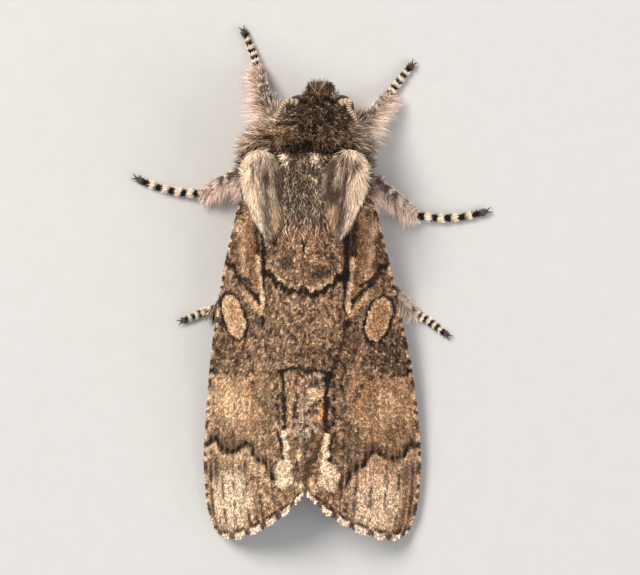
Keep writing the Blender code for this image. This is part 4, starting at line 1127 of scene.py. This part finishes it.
        keep(region == name, marks=paint.colour, lie=unit(sweep), reach=length + 0.68 * long,
             unwrap=unwrapped((order + turn) / len(LEGS), way))
    return region, kept


# Small parts

def eye_centre(side):
    return np.array(EYE_AT) * (side, 1, 1) + (HEAD_AT[0], 0, 0)


def eyes():
    paint = Finish("eye")
    cells = paint.node("ShaderNodeTexVoronoi", {}, {"Vector": paint.place(), "Scale": 26000.0})
    finish = paint.feed(
        Base_Color=paint.mixed(paint.noise(2500.0), (0.012, 0.008, 0.006), (0.05, 0.032, 0.02)),
        Roughness=cells * 0.2 + 0.25, Normal=paint.bump(cells, 0.35, 0.00001), Specular_IOR_Level=0.3,
    )
    for side, name in SIDES:
        shape = ball_shape(ball_place(eye_centre(side), (EYE_RADIUS - 0.02,) * 3), 32, 48)
        finished("eye_ball_" + name, joined("eye", shape), finish, "eye_surface", ("eye_" + name,))


def feelers(finish):
    """Feelers with a thick knob at the root, ringed with cream."""
    for side, name in SIDES:
        share = np.linspace(0, 1, FEELER_STEPS)
        path = along(ANTENNA, share) * (side, 1, 1)
        pull, low, high = (0.4, 0.13, 0.32) if side == LEFT else (0.42, 0.05, 0.17)
        closer = pull * smooth(share, low, high)
        path[:, 0] += neck_bend(path[:, 1]) - side * closer
        path += np.array((-0.34 * side, 0.16, -0.42)) * fall(share, 0.0, 0.08)[:, None]
        path[:, 2] += 0.18 * band(share, 0.18, 0.42, 0.06)
        ring = np.abs(np.sin(share * FEELER_RINGS * np.pi))
        knob = 0.06 * np.exp(-((share - 0.02) / 0.04) ** 2)
        radius = (0.12 - 0.06 * share) * (0.85 + 0.35 * ring) + knob
        root = np.clip(share / 0.025, 0, 1)
        radius *= 0.1 + 0.9 * np.sqrt(root * (2 - root))
        mesh = joined("feeler", tube_shape(path, radius, FEELER_SIDES))
        where = np.concatenate([np.repeat(share, FEELER_SIDES), [0, 1]])
        paint = Paint(CREAM, where, where)
        paint.lay(0.9 * fall(np.abs(np.sin(where * FEELER_RINGS * np.pi)), 0.35, 0.7), UMBER)
        paint.lay(0.8 * fall(where, 0.03, 0.06), dyed(IVORY, 0.45, TAN))
        paint.lay(0.5 * smooth(where, 0.4, 0.9), DRAB)
        note(mesh, "marks", paint.colour)
        finished("feeler_" + name, mesh, finish, "leg_scales", ("antenna_" + name,))


def claws():
    """A pair of small hooked claws at the end of each foot."""
    paint = Finish("claw_horn")
    colour = paint.mixed(paint.noise(8000.0), (0.015, 0.01, 0.008), (0.06, 0.035, 0.02))
    finish = paint.feed(Base_Color=colour, Roughness=0.35)
    shapes = []
    for name in LEGS:
        line = leg_line(name)[0]
        tip, ahead = line[-1], unit(line[-1] - line[-6])
        across = np.array((-ahead[1], ahead[0], 0))
        for turn in (-1, 1):
            share = np.linspace(0, 1, 8)[:, None]
            path = tip - ahead * 0.06 + ahead * 0.34 * share + across * turn * 0.16 * share
            path = path + np.array((0, 0, 1)) * (0.09 * np.sin(np.pi * share) - 0.15 * share ** 2)
            shapes.append(tube_shape(path, 0.055 * (1 - 0.85 * share[:, 0]), 8))
    finished("claws", joined("claws", *shapes), finish, "leg_scales")


def hind_wings(finish):
    """Thin under wings, folded below the forewings."""
    for side, name in SIDES:
        r, c = grid(*UNDER_WING_GRID)
        v = 0.46 + 0.37 * (0.35 + 0.65 * smooth(r * 2.5)) * c
        v = 0.645 + (v - 0.645) * np.sqrt(np.clip(1 - (np.maximum(r - 0.82, 0) / 0.19) ** 2, 0, 1))
        here, _, out = wing_frame(0.2 + 0.755 * r, v, side)
        top = here - out * (UNDER_WING_DEPTH + 0.03 * np.cos(c * 40)[..., None])
        points, faces = sheet_shape(top, top - out * UNDER_WING_THICKNESS)
        mesh = joined("under_wing", (points, faces))
        x, y = points[:, 0], points[:, 1]
        paint = Paint(TAN, x, y)
        paint.lay(0.6 * smooth(mottle(x, y, 0.3, 91), -0.3, 0.5), DRAB)
        paint.lay(0.5 * smooth(np.tile(r.ravel(), 2), 0.75, 0.95), UMBER)
        note(mesh, "marks", paint.colour)
        finished("under_wing_" + name, mesh, finish, "hindwing_scales", ("hindwing_" + name,))


# Floor, light and camera

def studio():
    shape = bmesh.new()
    bmesh.ops.create_grid(shape, x_segments=8, y_segments=8, size=FLOOR_SIZE)
    bmesh.ops.translate(shape, verts=shape.verts, vec=(0, 0, FLOOR_LEVEL))
    mesh = bpy.data.meshes.new("floor")
    shape.to_mesh(mesh)
    shape.free()
    floor = held("floor", mesh)
    paint = Finish("pale_floor")
    fine = paint.noise(900.0, 4.0)
    mesh.materials.append(paint.feed(
        Base_Color=paint.mixed(fine, (0.6, 0.59, 0.57), (0.66, 0.65, 0.63)), Roughness=fine * 0.1 + 0.75,
    ))

    world = bpy.data.worlds.new("soft_room")
    bpy.context.scene.world = world
    world.use_nodes = True
    sky = world.node_tree.nodes["Background"]
    sky.inputs["Color"].default_value = (0.93, 0.95, 1.0, 1.0)
    sky.inputs["Strength"].default_value = 0.45
    for name, at, size, power, colour in (
        ("window", (0.14, -0.14, 0.28), 0.14, 1.05, (1.0, 0.95, 0.88)),
        ("reflector", (-0.24, 0.12, 0.2), 0.2, 0.4, (0.95, 0.97, 1.0)),
    ):
        light = bpy.data.lights.new(name, "AREA")
        light.size, light.energy, light.color = size, power, colour
        lamp = held(name, light)
        lamp.location = at
        lamp.rotation_euler = (-Vector(at)).to_track_quat("-Z", "Y").to_euler()
    bpy.context.scene.view_settings.view_transform = "Standard"


def camera():
    """Looks straight down but for three degrees, head up in the picture, 32 mm across at its middle."""
    lens, sensor, across, tilt = 200.0, 36.0, 0.032, math.radians(3.0)
    centre = Vector((-0.00063, 0.0002, 0.002))
    distance = lens / sensor * across
    data = bpy.data.cameras.new("camera")
    data.lens, data.sensor_width, data.clip_start, data.clip_end = lens, sensor, 0.001, 10.0
    holder = held("camera", data)
    away = Vector((-math.sin(tilt), 0, math.cos(tilt)))
    right = Vector((-math.cos(tilt), 0, -math.sin(tilt)))
    holder.matrix_world = Matrix((
        (right.x, 0, away.x, centre.x + away.x * distance),
        (right.y, -1, away.y, centre.y + away.y * distance),
        (right.z, 0, away.z, centre.z + away.z * distance),
        (0, 0, 0, 1),
    ))
    bpy.context.scene.camera = holder


def build():
    membrane = skin_finish("wing_membrane", 14000.0, 0.00002, 0.75)
    hide = skin_finish("hide", 9000.0, 0.00003, 0.8)
    scales = coat_finish("wing_scales", 0.45, 2.05, 1.8, 1.05)
    dark_hair = coat_finish("dark_hair", 0.35, 3.7, 3.0, 1.5)
    pale_hair = coat_finish("pale_hair", 0.75, 1.95, 1.2, 1.3)
    scale_tree = coat_tree("scale_coat", scales)
    dark_tree, pale_tree = coat_tree("dark_hair_coat", dark_hair), coat_tree("pale_hair_coat", pale_hair)
    scale, strand = scale_blade(), hair_blade()
    for side, name in SIDES:
        skin = wing_skin(side, "wing_" + name)
        coat("wing_scales_" + name, skin, scale_tree, "wing_scales", Blade=scale, Density=330.0, Width=0.085,
             Raise=0.12, Scatter=0.1, Seed=11 + side)
        finished("wing_" + name, skin, membrane, "wing_scales", ("forewing_" + name,))
    hind_wings(membrane)
    feelers(hide)
    eyes()
    claws()

    skin = body_skin()
    points = place_of(skin)
    normals = np.array([vertex.normal for vertex in skin.vertices])
    region, kept = body_notes(points, normals)
    for name, values in kept.items():
        note(skin, name, values)
    legs = np.array(["leg" in name for name in region])
    flaps = np.array([name.startswith("flap") for name in region])
    hood = np.isin(region, ("head", "collar", "palp"))
    coats = (
        ("hood_hair", hood, dark_tree, 440.0, 0.034, 0.65, 0.75, "furry_body"),
        ("back_hair", region == "thorax", dark_tree, 360.0, 0.034, 0.45, 0.7, "furry_body"),
        ("flap_hair", flaps, pale_tree, 420.0, 0.036, 0.16, 0.2, "pale_flap"),
        ("belly_hair", region == "abdomen", dark_tree, 70.0, 0.05, 0.12, 0.15, "furry_body"),
        ("leg_hair", legs, pale_tree, 190.0, 0.03, 0.2, 0.3, "leg_scales"),
    )
    from_eyes = [np.linalg.norm(points - eye_centre(side), axis=1) for side in (LEFT, RIGHT)]
    bare = np.minimum(*from_eyes) <= EYE_RADIUS + EYE_GAP
    for order, (name, where, tree, density, width, lift, scatter, slot) in enumerate(coats):
        room = (where & ~bare).astype(float)
        if "room" in skin.attributes:
            skin.attributes.remove(skin.attributes["room"])
        note(skin, "room", room)
        coat(name, skin, tree, slot, Blade=strand, Density=density, Width=width, Raise=lift,
             Scatter=scatter, Seed=31 + order)
    flesh = [
        "head", "collar", "thorax", "abdomen", "palp_left", "palp_right", "tegula_left", "tegula_right",
        *LEGS,
    ]
    finished("skin", skin, hide, "furry_body", flesh)
    for holder in (scale, strand):
        bpy.data.objects.remove(holder)
    studio()
    camera()


build()
